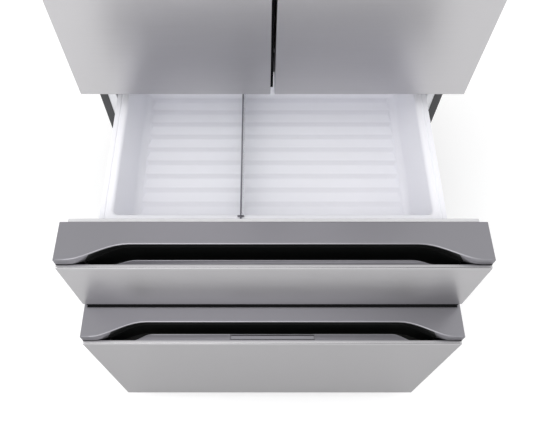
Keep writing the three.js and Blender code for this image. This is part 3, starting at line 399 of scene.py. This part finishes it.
# On the drawer fronts the upper fold is rounder, and the side folds run on over its ends.
for node, body in (("middle_front_skin", "middle_drawer"), ("lower_front_skin", "freezer_drawer")):
    low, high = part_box(node)
    bm = copy_of(node)
    soften(
        bm, TOP_BEND, 6,
        lambda e: all(v.co.z > high.z - NEAR and v.co.y < low.y + NEAR for v in e.verts),
    )
    on_fold = outer_fold(node)
    soften(
        bm, BEND, 5,
        lambda e: on_fold(e) or e.is_convex and all(
            abs(v.co.x) > high.x - NEAR and v.co.y < low.y + BEND_END
            and v.co.z > high.z - BEND_END for v in e.verts
        ),
    )
    add_piece(f"{node}_shown", bm, stainless, body, [node])


# Caps of the drawer fronts, hinge covers, toe grille, release lever, folding bar ----------------
# Moulded ABS in a metallic grey with a satin grain, drawn a little coarse so that it shows. The
# cap's edges are softly rounded, also along the S-curved recess that fingers reach into, and its
# grip lip has a rolled bead at the back.
grey_plastic, tree, shader = new_material(
    "metallic grey moulded ABS", "8E8D92", 0.3, 0.85, Specular_Tint=(0.35, 0.35, 0.35, 1),
)
place = add_node(tree, "ShaderNodeTexCoord")
grain = add_node(
    tree, "ShaderNodeTexNoise",
    {"Vector": place.outputs["Object"], "Scale": 1 / (0.9 * MM), "Detail": 2.0},
)
fine = add_node(
    tree, "ShaderNodeBump",
    {"Height": grain.outputs["Fac"], "Strength": 0.3, "Distance": 0.03 * MM},
)
tree.links.new(fine.outputs["Normal"], shader.inputs["Normal"])

CAP_EDGE = 2.6 * MM
COVER_EDGE = 1.8 * MM
LIP_BEAD = 2.2 * MM
LIP_DROP = 0.3 * MM  # from the steel's top down to the lip
LIP_START = 9 * MM  # from the steel's front back to the lip
LIP_HALF = 336 * MM


def top_edge(node):
    """A test for the edges that lie along the top of a node."""
    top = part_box(node)[1].z
    return lambda edge: all(abs(v.co.z - top) < NEAR for v in edge.verts)


for skin, node, body, slope in (
    ("middle_front_skin", "middle_front_cap", "middle_drawer", 0.33),
    ("lower_front_skin", "lower_front_cap", "freezer_drawer", 0.2),
):
    start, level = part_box(skin)[0].y + LIP_START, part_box(skin)[1].z - LIP_DROP
    bm = copy_of(node)
    soften(bm, CAP_EDGE, 4, top_edge(node))
    soften(
        bm, LIP_BEAD, 5,
        lambda e: e.is_convex and all(
            abs(v.co.z - level) < NEAR and v.co.y > start and abs(v.co.x) < LIP_HALF
            for v in e.verts
        ),
    )
    # The lip's top falls away behind its front, which leaves the bead standing.
    lip_top = [
        f for f in bm.faces
        if f.normal.z > 0.999 and all(abs(v.co.z - level) < NEAR for v in f.verts)
    ]
    for v in {v for f in lip_top for v in f.verts}:
        v.co.z -= slope * max(0, v.co.y - start)
    add_piece(f"{node}_shown", bm, grey_plastic, body, [node])

for node in ("left_hinge_cover", "right_hinge_cover"):
    dress(node, grey_plastic, "cabinet", COVER_EDGE, 4, top_edge(node))
for node, body, radius, segments in (
    ("toe_grille", "cabinet", 0.6 * MM, 2),
    ("lower_lever", "lower_lever", 1.2 * MM, 3),
    ("flip_bar", "flip_bar", 2.0 * MM, 3),
):
    dress(node, grey_plastic, body, radius, segments)


# Pockets, fan, feet, rollers --------------------------------------------------------------------
# Black moulded ABS, glossy enough for a faint sheen in the pocket behind each grip lip. A black
# film over the wall of each recess, from the lip up to the cap's rounded edge, is painted shade.
black_abs_and_painted_shade, tree, shader = new_material(
    "black moulded ABS", "080909", 0.4, Specular_IOR_Level=0.3,
)
place = add_node(tree, "ShaderNodeTexCoord")
grain = add_node(
    tree, "ShaderNodeTexNoise",
    {"Vector": place.outputs["Object"], "Scale": 1 / (1.2 * MM), "Detail": 2.0},
)
fine = add_node(
    tree, "ShaderNodeBump",
    {"Height": grain.outputs["Fac"], "Strength": 0.2, "Distance": 0.03 * MM},
)
tree.links.new(fine.outputs["Normal"], shader.inputs["Normal"])

POCKET_EDGE = 0.15 * MM
# The film is painted shade: a black sheet over the grey recess wall, as dark as that wall in shade.
PAINTED_SHADE_SHEET = 0.4 * MM
PAINTED_SHADE_SHEET_FOOT = 0.2 * MM  # from the steel's top up to the film
PAINTED_SHADE_SHEET_HALF = 396 * MM
PAINTED_SHADE_SHEET_FULL_HALF = 390 * MM  # beyond this only its low tip is left
PAINTED_SHADE_SHEET_TIP = 2 * MM
RECESS_REACH = 20 * MM  # the recess ends this far before the cap's back
for cap, pocket, skin, body in (
    ("middle_front_cap", "middle_pocket", "middle_front_skin", "middle_drawer"),
    ("lower_front_cap", "lower_pocket", "lower_front_skin", "freezer_drawer"),
):
    dress(pocket, black_abs_and_painted_shade, body, POCKET_EDGE, 1)

    level, top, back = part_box(skin)[1].z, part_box(cap)[1].z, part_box(cap)[1].y - RECESS_REACH
    bm = copy_of(cap)
    recess = [
        f for f in bm.faces
        if f.normal.y < -0.8 and f.calc_center_median().z > level + PAINTED_SHADE_SHEET_TIP
        and all(abs(v.co.x) < PAINTED_SHADE_SHEET_HALF and v.co.y < back for v in f.verts)
    ]
    bmesh.ops.delete(bm, geom=[f for f in bm.faces if f not in recess], context="FACES")
    for v in bm.verts:
        if v.co.z < (level + top) / 2:
            v.co.z = level + PAINTED_SHADE_SHEET_FOOT
        else:
            v.co.z = top - CAP_EDGE if abs(v.co.x) < PAINTED_SHADE_SHEET_FULL_HALF else level + PAINTED_SHADE_SHEET_TIP
        v.co.y -= PAINTED_SHADE_SHEET
    # This film of painted shade is the pocket's liner.
    add_piece(f"{pocket}_liner", bm, black_abs_and_painted_shade, body, wall=2 * PAINTED_SHADE_SHEET)

WHEEL_EDGE = 0.8 * MM
BLADE_EDGE = 0.5 * MM
for node in ("left_foot", "left_roller", "right_foot", "right_roller"):
    dress(node, black_abs_and_painted_shade, node, WHEEL_EDGE)
dress("condenser_fan", black_abs_and_painted_shade, "condenser_fan", BLADE_EDGE)


# Gaskets, door gap seal, strips of painted shadow -------------------------------------------------
# Extruded flexible PVC with a magnet inside, matt light grey with a trace of dust, pushed into a
# groove of the inner panel. The seal between the doors is extruded black rubber, matt with a faint
# bloom, and the black rubber strips on the drawer fronts are painted shadow and shade.
GASKET_EDGE = 2.4 * MM
SEAL_EDGE = 0.8 * MM
gasket_rubber, tree, shader = new_material("extruded flexible PVC", "D2D2D4", 0.6)
place = add_node(tree, "ShaderNodeTexCoord")
dust = add_node(
    tree, "ShaderNodeTexNoise",
    {"Vector": place.outputs["Object"], "Scale": 1 / (18 * MM), "Detail": 3.0},
)
tone = add_node(
    tree, "ShaderNodeMix",
    {0: dust.outputs["Fac"], 6: linear("CACACC"), 7: linear("DADADC")}, data_type="RGBA",
)
tree.links.new(tone.outputs[2], shader.inputs["Base Color"])
for node, body in (
    ("left_door_gasket", "left_door"),
    ("right_door_gasket", "right_door"),
    ("middle_gasket", "middle_drawer"),
    ("lower_gasket", "freezer_drawer"),
):
    dress(node, gasket_rubber, body, GASKET_EDGE, 3)

black_rubber_and_painted_shade, tree, shader = new_material(
    "black extruded rubber", "0B0B0D", 0.7, Specular_IOR_Level=0.15,
)
place = add_node(tree, "ShaderNodeTexCoord")
bloom = add_node(
    tree, "ShaderNodeTexNoise",
    {"Vector": place.outputs["Object"], "Scale": 1 / (25 * MM), "Detail": 3.0},
)
gloss = add_node(
    tree, "ShaderNodeMapRange", {"Value": bloom.outputs["Fac"], "To Min": 0.62, "To Max": 0.78},
)
tree.links.new(gloss.outputs[0], shader.inputs["Roughness"])
dress("door_gap_seal", black_rubber_and_painted_shade, "left_door", SEAL_EDGE, 3)


def block(bm, low, high):
    """Adds a box between two corners."""
    corners = bmesh.ops.create_cube(bm, size=1)["verts"]
    bmesh.ops.scale(bm, vec=[b - a for a, b in zip(low, high)], verts=corners)
    bmesh.ops.translate(bm, vec=[(a + b) / 2 for a, b in zip(low, high)], verts=corners)


# A black strip under the foot of the middle front's steel is painted shadow, for the dark gap
# there.
FOOT_SHADOW_STRIP = 10.4 * MM
FOOT_SHADOW_STRIP_DEPTH = 24 * MM
FOOT_SHADOW_STRIP_EDGE = 1.5 * MM
FROM_END = 7 * MM
SET_BACK = 0.8 * MM
low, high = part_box("middle_front_skin")
front = low.y + SET_BACK
bm = bmesh.new()
block(
    bm, (low.x + FROM_END, front, low.z - FOOT_SHADOW_STRIP),
    (high.x - FROM_END, front + FOOT_SHADOW_STRIP_DEPTH, low.z + 0.3 * MM),
)
soften(bm, FOOT_SHADOW_STRIP_EDGE, 3)
add_piece("middle_front_shadow_strip", bm, black_rubber_and_painted_shade, "middle_drawer")

# A black strip cut to the cap's outline, in the joint between steel and cap, is painted shadow for
# the dark gap there, and a fine black bead along the fold of the steel is painted shade.
JOINT_SHADOW_STRIP = 1.8 * MM
JOINT_SHADOW_STRIP_PROUD = 0.7 * MM
JOINT_SHADOW_STRIP_FOOT = 0.05 * MM
SEAM = 0.45 * MM
SEAM_LENGTH = 900 * MM
for node, skin, body in (
    ("middle_front_cap", "middle_front_skin", "middle_drawer"),
    ("lower_front_cap", "lower_front_skin", "freezer_drawer"),
):
    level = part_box(skin)[1].z
    bm = copy_of(node)
    for height, side in ((level + JOINT_SHADOW_STRIP, 1), (level + JOINT_SHADOW_STRIP_FOOT, -1)):
        cut = bmesh.ops.bisect_plane(
            bm, geom=bm.verts[:] + bm.edges[:] + bm.faces[:], plane_co=(0, 0, height),
            plane_no=(0, 0, side), clear_outer=True,
        )["geom_cut"]
        rim = [e for e in cut if isinstance(e, bmesh.types.BMEdge)]
        bmesh.ops.edgeloop_fill(bm, edges=rim)
    bmesh.ops.recalc_face_normals(bm, faces=bm.faces)
    bmesh.ops.translate(bm, vec=(0, -JOINT_SHADOW_STRIP_PROUD, 0), verts=bm.verts)
    add_piece(f"{node}_joint_shadow_strip", bm, black_rubber_and_painted_shade, body)

    # The bead is painted shade: a thin dark line drawn along the fold.
    on_fold = (0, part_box(skin)[0].y + 0.6 * TOP_BEND, level - 0.11 * TOP_BEND)
    bm = bmesh.new()
    bmesh.ops.create_cone(
        bm, cap_ends=True, segments=16, radius1=SEAM, radius2=SEAM, depth=SEAM_LENGTH,
        matrix=Matrix.Translation(on_fold) @ Matrix.Rotation(radians(90), 4, "Y"),
    )
    add_piece(f"{node}_seam", bm, black_rubber_and_painted_shade, body)

# A flat black strip on the lower cap, just before the middle front, is painted shadow cast by it.
CAP_SHADOW_STRIP = 0.8 * MM
CAP_SHADOW_STRIP_FROM_END = 8 * MM
CAP_SHADOW_STRIP_BEFORE = 3.6 * MM  # how far it reaches before and behind the middle front's face
CAP_SHADOW_STRIP_BEHIND = 3 * MM
CAP_SHADOW_STRIP_EDGE = 0.3 * MM
cap_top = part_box("lower_front_cap")[1].z
bm = bmesh.new()
block(
    bm, (low.x + CAP_SHADOW_STRIP_FROM_END, low.y - CAP_SHADOW_STRIP_BEFORE, cap_top - 0.5 * CAP_SHADOW_STRIP),
    (high.x - CAP_SHADOW_STRIP_FROM_END, low.y + CAP_SHADOW_STRIP_BEHIND, cap_top + CAP_SHADOW_STRIP),
)
soften(bm, CAP_SHADOW_STRIP_EDGE, 1)
add_piece("lower_front_cap_shadow_strip", bm, black_rubber_and_painted_shade, "freezer_drawer")


# Inner panels of the doors and drawer fronts ----------------------------------------------------
# Vacuum-formed white sheet. The doors' ribs hold the bins, and every corner is rounded.
PANEL_EDGE = 2.5 * MM
for node, body in (
    ("left_door_panel", "left_door"),
    ("right_door_panel", "right_door"),
    ("middle_front_panel", "middle_drawer"),
    ("lower_front_panel", "freezer_drawer"),
):
    dress(node, white_liner, body, PANEL_EDGE, 3)


# Bins -------------------------------------------------------------------------------------------
# Injection-moulded polystyrene with drafted walls, wide corner radii and a flat rim. It is bluish
# white and glossy, with faint waves where the melt flowed.
bin_plastic, tree, shader = new_material("white moulded polystyrene", "F5F5FA", 0.3)
place = add_node(tree, "ShaderNodeTexCoord")
flow = add_node(
    tree, "ShaderNodeTexNoise",
    {"Vector": place.outputs["Object"], "Scale": 1 / (8 * MM), "Detail": 2.0},
)
waves = add_node(
    tree, "ShaderNodeBump",
    {"Height": flow.outputs["Fac"], "Strength": 0.15, "Distance": 0.08 * MM},
)
tree.links.new(waves.outputs["Normal"], shader.inputs["Normal"])


def rounded_outline(bm, inset, low, high, z, radius):
    """The loop of edges of a rectangle with round corners, inset from the box low to high."""
    others = set(bm.faces)
    corners = bmesh.ops.create_grid(bm, x_segments=1, y_segments=1, size=0.5)["verts"]
    size = (high.x - low.x - 2 * inset, high.y - low.y - 2 * inset, 1)
    bmesh.ops.scale(bm, vec=size, verts=corners)
    bmesh.ops.translate(bm, vec=((low.x + high.x) / 2, (low.y + high.y) / 2, z), verts=corners)
    bmesh.ops.bevel(
        bm, geom=corners, offset=radius, segments=5, profile=0.5, affect="VERTICES", material=-1,
    )
    sheet = [f for f in bm.faces if f not in others]
    edges = list(sheet[0].edges)
    bmesh.ops.delete(bm, geom=sheet, context="FACES_ONLY")
    return edges


def on_outline(edge, inset, low, high, z):
    """Whether an edge lies on the outline at that inset from the box, and at that height."""
    for v in edge.verts:
        gap = min(v.co.x - low.x, high.x - v.co.x, v.co.y - low.y, high.y - v.co.y)
        if abs(v.co.z - z) > TOUCH or not inset - TOUCH < gap < inset + 5 * MM:
            return False
    return True


LOOP_SPREAD = 0.2


def moulded_tub(low, high, outlines, wall, fillet, mouth=0.0):
    """A tub's skin, from its outlines (inset, depth below the rim, corner radius) inwards.

    The loops are bridged well apart, and then let down to their own depths.
    """
    bm = bmesh.new()
    before = None
    for number, (inset, _, radius) in enumerate(outlines):
        loop = rounded_outline(bm, inset, low, high, -number * LOOP_SPREAD, radius)
        if before:
            bmesh.ops.bridge_loops(bm, edges=before + loop)
        before = loop
    bottom = bmesh.ops.contextual_create(bm, geom=before)["faces"][0]
    bmesh.ops.recalc_face_normals(bm, faces=bm.faces)
    for v in bm.verts:
        v.co.z = high.z - outlines[round(-v.co.z / LOOP_SPREAD)][1]
    bm.normal_update()
    if bottom.normal.z < 0:
        bmesh.ops.reverse_faces(bm, faces=bm.faces)
    bmesh.ops.bevel(
        bm, geom=before, offset=fillet, segments=5, profile=0.5, affect="EDGES", material=-1,
    )
    if mouth:
        inset = outlines[-2][0]
        soften(bm, mouth, 5, lambda e: on_outline(e, inset, low, high, high.z))
    soften(bm, 0.4 * wall, 2, lambda e: e.verts[0].co.z > high.z - 6 * wall)
    return bm


BIN_WALL = 3 * MM
BIN_CREASE = 40  # degrees, above which an edge of a tub stays sharp
DRAFT = 13 * MM
RIM = 30 * MM
RIM_TURN = 10 * MM
GROOVE = 12.5 * MM  # from the rim's outer edge to the middle of its groove
GROOVE_HALF = 2 * MM
GROOVE_DEPTH = 2.4 * MM
RIB_COUNT = 10
RIB_PITCH = 42 * MM
RIB_WIDTH = 40 * MM
RIB_HEIGHT = 2.4 * MM
RIB_SLOPE = 19 * MM
RIB_LEAN = 4 * MM
RIB_END = 12 * MM
RIB_INSET = RIM + DRAFT + 17 * MM


def add_ribs(bm, low, high):
    """Raises soft cross ribs out of a tub's floor, which is its largest face."""
    level = max(bm.faces, key=lambda f: f.calc_area()).calc_center_median().z
    left, right = low.x + RIB_INSET, high.x - RIB_INSET
    middle = ((low + high) / 2).y
    first = middle - RIB_PITCH * (RIB_COUNT - 1) / 2

    def on_floor(face):
        return abs(face.calc_center_median().z - level) < TOUCH and face.normal.z > 0.99

    def between_ends(face):
        return left < face.calc_center_median().x < right

    cuts = [((left, 0, 0), (1, 0, 0)), ((right, 0, 0), (-1, 0, 0))]
    for number in range(RIB_COUNT):
        for side in (-0.5, 0.5):
            cuts.append(((0, first + number * RIB_PITCH + side * RIB_WIDTH, 0), (0, 1, 0)))
    for place, normal in cuts:
        flat = [f for f in bm.faces if on_floor(f) and (normal[0] or between_ends(f))]
        edges = {e for f in flat for e in f.edges}
        points = {v for f in flat for v in f.verts}
        bmesh.ops.bisect_plane(
            bm, geom=[*flat, *edges, *points], plane_co=place, plane_no=normal, dist=0.1 * TOUCH,
        )

    ribs = []
    for face in bm.faces:
        step = (face.calc_center_median().y - first) / RIB_PITCH
        on_pitch = abs(step - round(step)) < 0.1 and -0.5 < step < RIB_COUNT - 0.5
        if on_floor(face) and between_ends(face) and on_pitch:
            ribs.append(face)
    bmesh.ops.inset_individual(
        bm, faces=ribs, thickness=RIB_SLOPE, depth=RIB_HEIGHT, use_even_offset=True,
    )
    for v in {v for f in ribs for v in f.verts}:
        v.co.y += RIB_LEAN
        v.co.x += RIB_END if v.co.x > (left + right) / 2 else -RIB_END
    edges = [
        e for e in bm.edges
        if e.calc_face_angle(0) > radians(2)
        and level - MM < e.verts[0].co.z < level + 2 * RIB_HEIGHT
        and left - MM < e.verts[0].co.x < right + MM
        and all(abs(v.co.y - middle) < RIB_PITCH * RIB_COUNT / 2 for v in e.verts)
    ]
    bmesh.ops.bevel(
        bm, geom=edges, offset=1.2 * RIB_HEIGHT, segments=3, profile=0.5, affect="EDGES",
        material=-1, clamp_overlap=True,
    )


# The middle drawer's bin hangs by a wide rim with a groove round it.
low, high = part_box("middle_bin")
outlines = (
    (0, RIM_TURN, 6 * MM),
    (0, 0.5 * GROOVE_DEPTH, 6 * MM),
    (GROOVE - GROOVE_HALF, 0, 5 * MM),
    (GROOVE, GROOVE_DEPTH, 5 * MM),
    (GROOVE + GROOVE_HALF, 0, 5 * MM),
    (RIM, 0, 12 * MM),
    (RIM + DRAFT, high.z - low.z - BIN_WALL, 14 * MM),
)
bm = moulded_tub(low, high, outlines, BIN_WALL, fillet=15 * MM, mouth=7 * MM)
add_ribs(bm, low, high)
add_piece(
    "middle_bin_shown", bm, bin_plastic, "middle_drawer", ["middle_bin"],
    BIN_CREASE, BIN_WALL,
)

# The freezer drawer's bin is deep and plain, and a shallow basket slides on its rims.
low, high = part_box("freezer_bin")
outlines = (
    (0, RIM_TURN, 20 * MM),
    (0, 0, 20 * MM),
    (24 * MM, 0, 26 * MM),
    (34 * MM, high.z - low.z - BIN_WALL, 30 * MM),
)
bm = moulded_tub(low, high, outlines, BIN_WALL, fillet=20 * MM)
add_piece(
    "freezer_bin_shown", bm, bin_plastic, "freezer_drawer", ["freezer_bin"],
    BIN_CREASE, BIN_WALL,
)

low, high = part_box("freezer_basket")
outlines = (
    (0, 5 * MM, 12 * MM),
    (0, 0, 12 * MM),
    (4 * MM, 0, 10 * MM),
    (5 * MM, high.z - low.z - BIN_WALL, 14 * MM),
)
bm = moulded_tub(low, high, outlines, BIN_WALL, fillet=10 * MM)
add_piece(
    "freezer_basket_shown", bm, bin_plastic, "freezer_basket",
    ["freezer_basket"], BIN_CREASE, BIN_WALL,
)


# Crispers, door bins, bin divider ---------------------------------------------------------------
# Clear moulded styrene, so glossy that only rims and corners stand out. The divider's sheet has a
# dark moulded bar along its top, which ends in a clip over each rim.
clear_plastic, tree, shader = new_material(
    "clear moulded styrene", "F2F5F8", 0.08, Transmission_Weight=0.85, IOR=1.2,
)
place = add_node(tree, "ShaderNodeTexCoord")
flow = add_node(
    tree, "ShaderNodeTexNoise",
    {"Vector": place.outputs["Object"], "Scale": 1 / (30 * MM), "Detail": 2.0},
)
gloss = add_node(
    tree, "ShaderNodeMapRange", {"Value": flow.outputs["Fac"], "To Min": 0.04, "To Max": 0.14},
)
tree.links.new(gloss.outputs[0], shader.inputs["Roughness"])

TRAY_WALL = 3 * MM
CRISPER_CORNER = 14 * MM
DOOR_BIN_CORNER = 10 * MM


def add_tray(name, low, high, corner, body, replaced=()):
    """A clear tray with a turned-down rim, in the box from low to high."""
    outlines = (
        (0, 5 * MM, corner),
        (0, 0, corner),
        (4 * MM, 0, corner - 2 * MM),
        (5 * MM, high.z - low.z - TRAY_WALL, corner),
    )
    bm = moulded_tub(low, high, outlines, TRAY_WALL, fillet=0.8 * corner)
    add_piece(name, bm, clear_plastic, body, replaced, BIN_CREASE, TRAY_WALL)


# Two more bins hang on each door, a shallower one below the middle one and another above it.
DOOR_BINS = {"low": (-300 * MM, 8 * MM), "high": (290 * MM, 0)}
for side in ("left", "right"):
    crisper, door_bin, door = f"{side}_crisper", f"{side}_door_bin", f"{side}_door"
    add_tray(f"{crisper}_shown", *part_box(crisper), CRISPER_CORNER, crisper, [crisper])
    low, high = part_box(door_bin)
    add_tray(f"{door_bin}_shown", low, high, DOOR_BIN_CORNER, door, [door_bin])
    for name, (rise, shallower) in DOOR_BINS.items():
        add_tray(
            f"{door_bin}_{name}", low + Vector((0, 0, rise)), high + Vector((0, -shallower, rise)),
            DOOR_BIN_CORNER, door,
        )

# The divider: a clear drafted sheet, a dark bar along its top and a T-shaped clip at each end.
SHEET = 2.4 * MM
SHEET_RADIUS = 0.5 * MM
BAR_HEIGHT = 4.5 * MM
BAR_HALF = 1.8 * MM
BAR_RADIUS = 0.7 * MM
CLIP = 3 * MM
CLIP_FROM_END = 6 * MM
CLIP_INSET = 0.5 * MM
SHEET_FROM_END = 15 * MM
low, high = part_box("bin_divider")
middle = (low.x + high.x) / 2
near, far = low.y + SHEET_FROM_END, high.y - SHEET_FROM_END
bm = bmesh.new()
block(bm, (middle - SHEET / 2, near, low.z), (middle + SHEET / 2, far, high.z - BAR_HEIGHT))
for v in bm.verts:
    if v.co.z < (low.z + high.z) / 2:
        v.co.y += DRAFT if v.co.y < (low.y + high.y) / 2 else -DRAFT
soften(bm, SHEET_RADIUS)
add_piece("bin_divider_sheet", bm, clear_plastic, "bin_divider", ["bin_divider"])

dark_trim, tree, shader = new_material("smoke grey moulded styrene", "66646D", 0.3)
place = add_node(tree, "ShaderNodeTexCoord")
grain = add_node(
    tree, "ShaderNodeTexNoise",
    {"Vector": place.outputs["Object"], "Scale": 1 / (1.5 * MM), "Detail": 2.0},
)
gloss = add_node(
    tree, "ShaderNodeMapRange", {"Value": grain.outputs["Fac"], "To Min": 0.24, "To Max": 0.38},
)
tree.links.new(gloss.outputs[0], shader.inputs["Roughness"])
along = (middle - BAR_HALF, middle + BAR_HALF)
across = (low.x + CLIP_INSET, high.x - CLIP_INSET)
first, last = low.y + CLIP_FROM_END, high.y - CLIP_FROM_END
bm = bmesh.new()
for x, y in (
    (along, (near, far)),
    (along, (low.y, near + MM)),
    (along, (far - MM, high.y)),
    (across, (first, first + CLIP)),
    (across, (last - CLIP, last)),
):
    block(bm, (x[0], y[0], high.z - BAR_HEIGHT), (x[1], y[1], high.z))
soften(bm, BAR_RADIUS)
add_piece("bin_divider_bar", bm, dark_trim, "bin_divider")


# Shelves ----------------------------------------------------------------------------------------
# Tempered glass plates with a green tint, lightly smeared from wiping, each with a thick clear
# strip along its front. They reach from wall to wall, and the lower one covers the crispers.
shelf_glass, tree, shader = new_material(
    "tempered glass", "E4F0EC", 0.03, Transmission_Weight=0.95, IOR=1.45,
)
place = add_node(tree, "ShaderNodeTexCoord")
wipe = add_node(
    tree, "ShaderNodeTexNoise",
    {"Vector": place.outputs["Object"], "Scale": 1 / (90 * MM), "Detail": 3.0},
)
gloss = add_node(
    tree, "ShaderNodeMapRange", {"Value": wipe.outputs["Fac"], "To Min": 0.01, "To Max": 0.06},
)
tree.links.new(gloss.outputs[0], shader.inputs["Roughness"])
SHELF_EDGE = 0.8 * MM
for node in ("shelf_upper", "crisper_cover"):
    dress(node, shelf_glass, "cabinet", SHELF_EDGE)


# Slides, hinges ---------------------------------------------------------------------------------
# Zinc-plated steel strip, rolled and pressed, with small bend radii. The slides carry the drawers,
# and the doors turn on the hinges' pins.
STRIP_BEND = 0.5 * MM
for node, body in (
    ("middle_rail_frame", "middle_drawer"),
    ("freezer_rail_frame", "freezer_drawer"),
    ("left_middle_track", "cabinet"),
    ("right_middle_track", "cabinet"),
    ("left_freezer_track", "cabinet"),
    ("right_freezer_track", "cabinet"),
    ("left_top_hinge", "cabinet"),
    ("right_top_hinge", "cabinet"),
    ("left_lower_hinge", "cabinet"),
    ("right_lower_hinge", "cabinet"),
):
    dress(node, zinc, body, STRIP_BEND)


# Compressor, condenser, evaporator --------------------------------------------------------------
# The compressor's pot is drawn steel under glossy black enamel, and the heat exchangers are thin,
# bright aluminium fins on tubes, with rolling marks along them.
black_steel, tree, shader = new_material("black enamelled steel", "17181A", 0.28)
place = add_node(tree, "ShaderNodeTexCoord")
peel = add_node(
    tree, "ShaderNodeTexNoise",
    {"Vector": place.outputs["Object"], "Scale": 1 / (4 * MM), "Detail": 2.0},
)
skin = add_node(
    tree, "ShaderNodeBump",
    {"Height": peel.outputs["Fac"], "Strength": 0.3, "Distance": 0.05 * MM},
)
tree.links.new(skin.outputs["Normal"], shader.inputs["Normal"])
POT_SEAM = 1.2 * MM
dress("compressor", black_steel, "cabinet", POT_SEAM, 3)

fins, tree, shader = new_material("rolled aluminium", "D2D4D5", 0.3, 1.0)
place = add_node(tree, "ShaderNodeTexCoord")
stretch = add_node(
    tree, "ShaderNodeMapping",
    {"Vector": place.outputs["Object"], "Scale": (1 / MM, 1 / MM, 1 / (60 * MM))},
)
lines = add_node(
    tree, "ShaderNodeTexNoise", {"Vector": stretch.outputs[0], "Scale": 1.0, "Detail": 2.0},
)
gloss = add_node(
    tree, "ShaderNodeMapRange", {"Value": lines.outputs["Fac"], "To Min": 0.22, "To Max": 0.4},
)
tree.links.new(gloss.outputs[0], shader.inputs["Roughness"])
FIN_EDGE = 0.3 * MM
for node in ("condenser", "evaporator"):
    dress(node, fins, "cabinet", FIN_EDGE, 1)
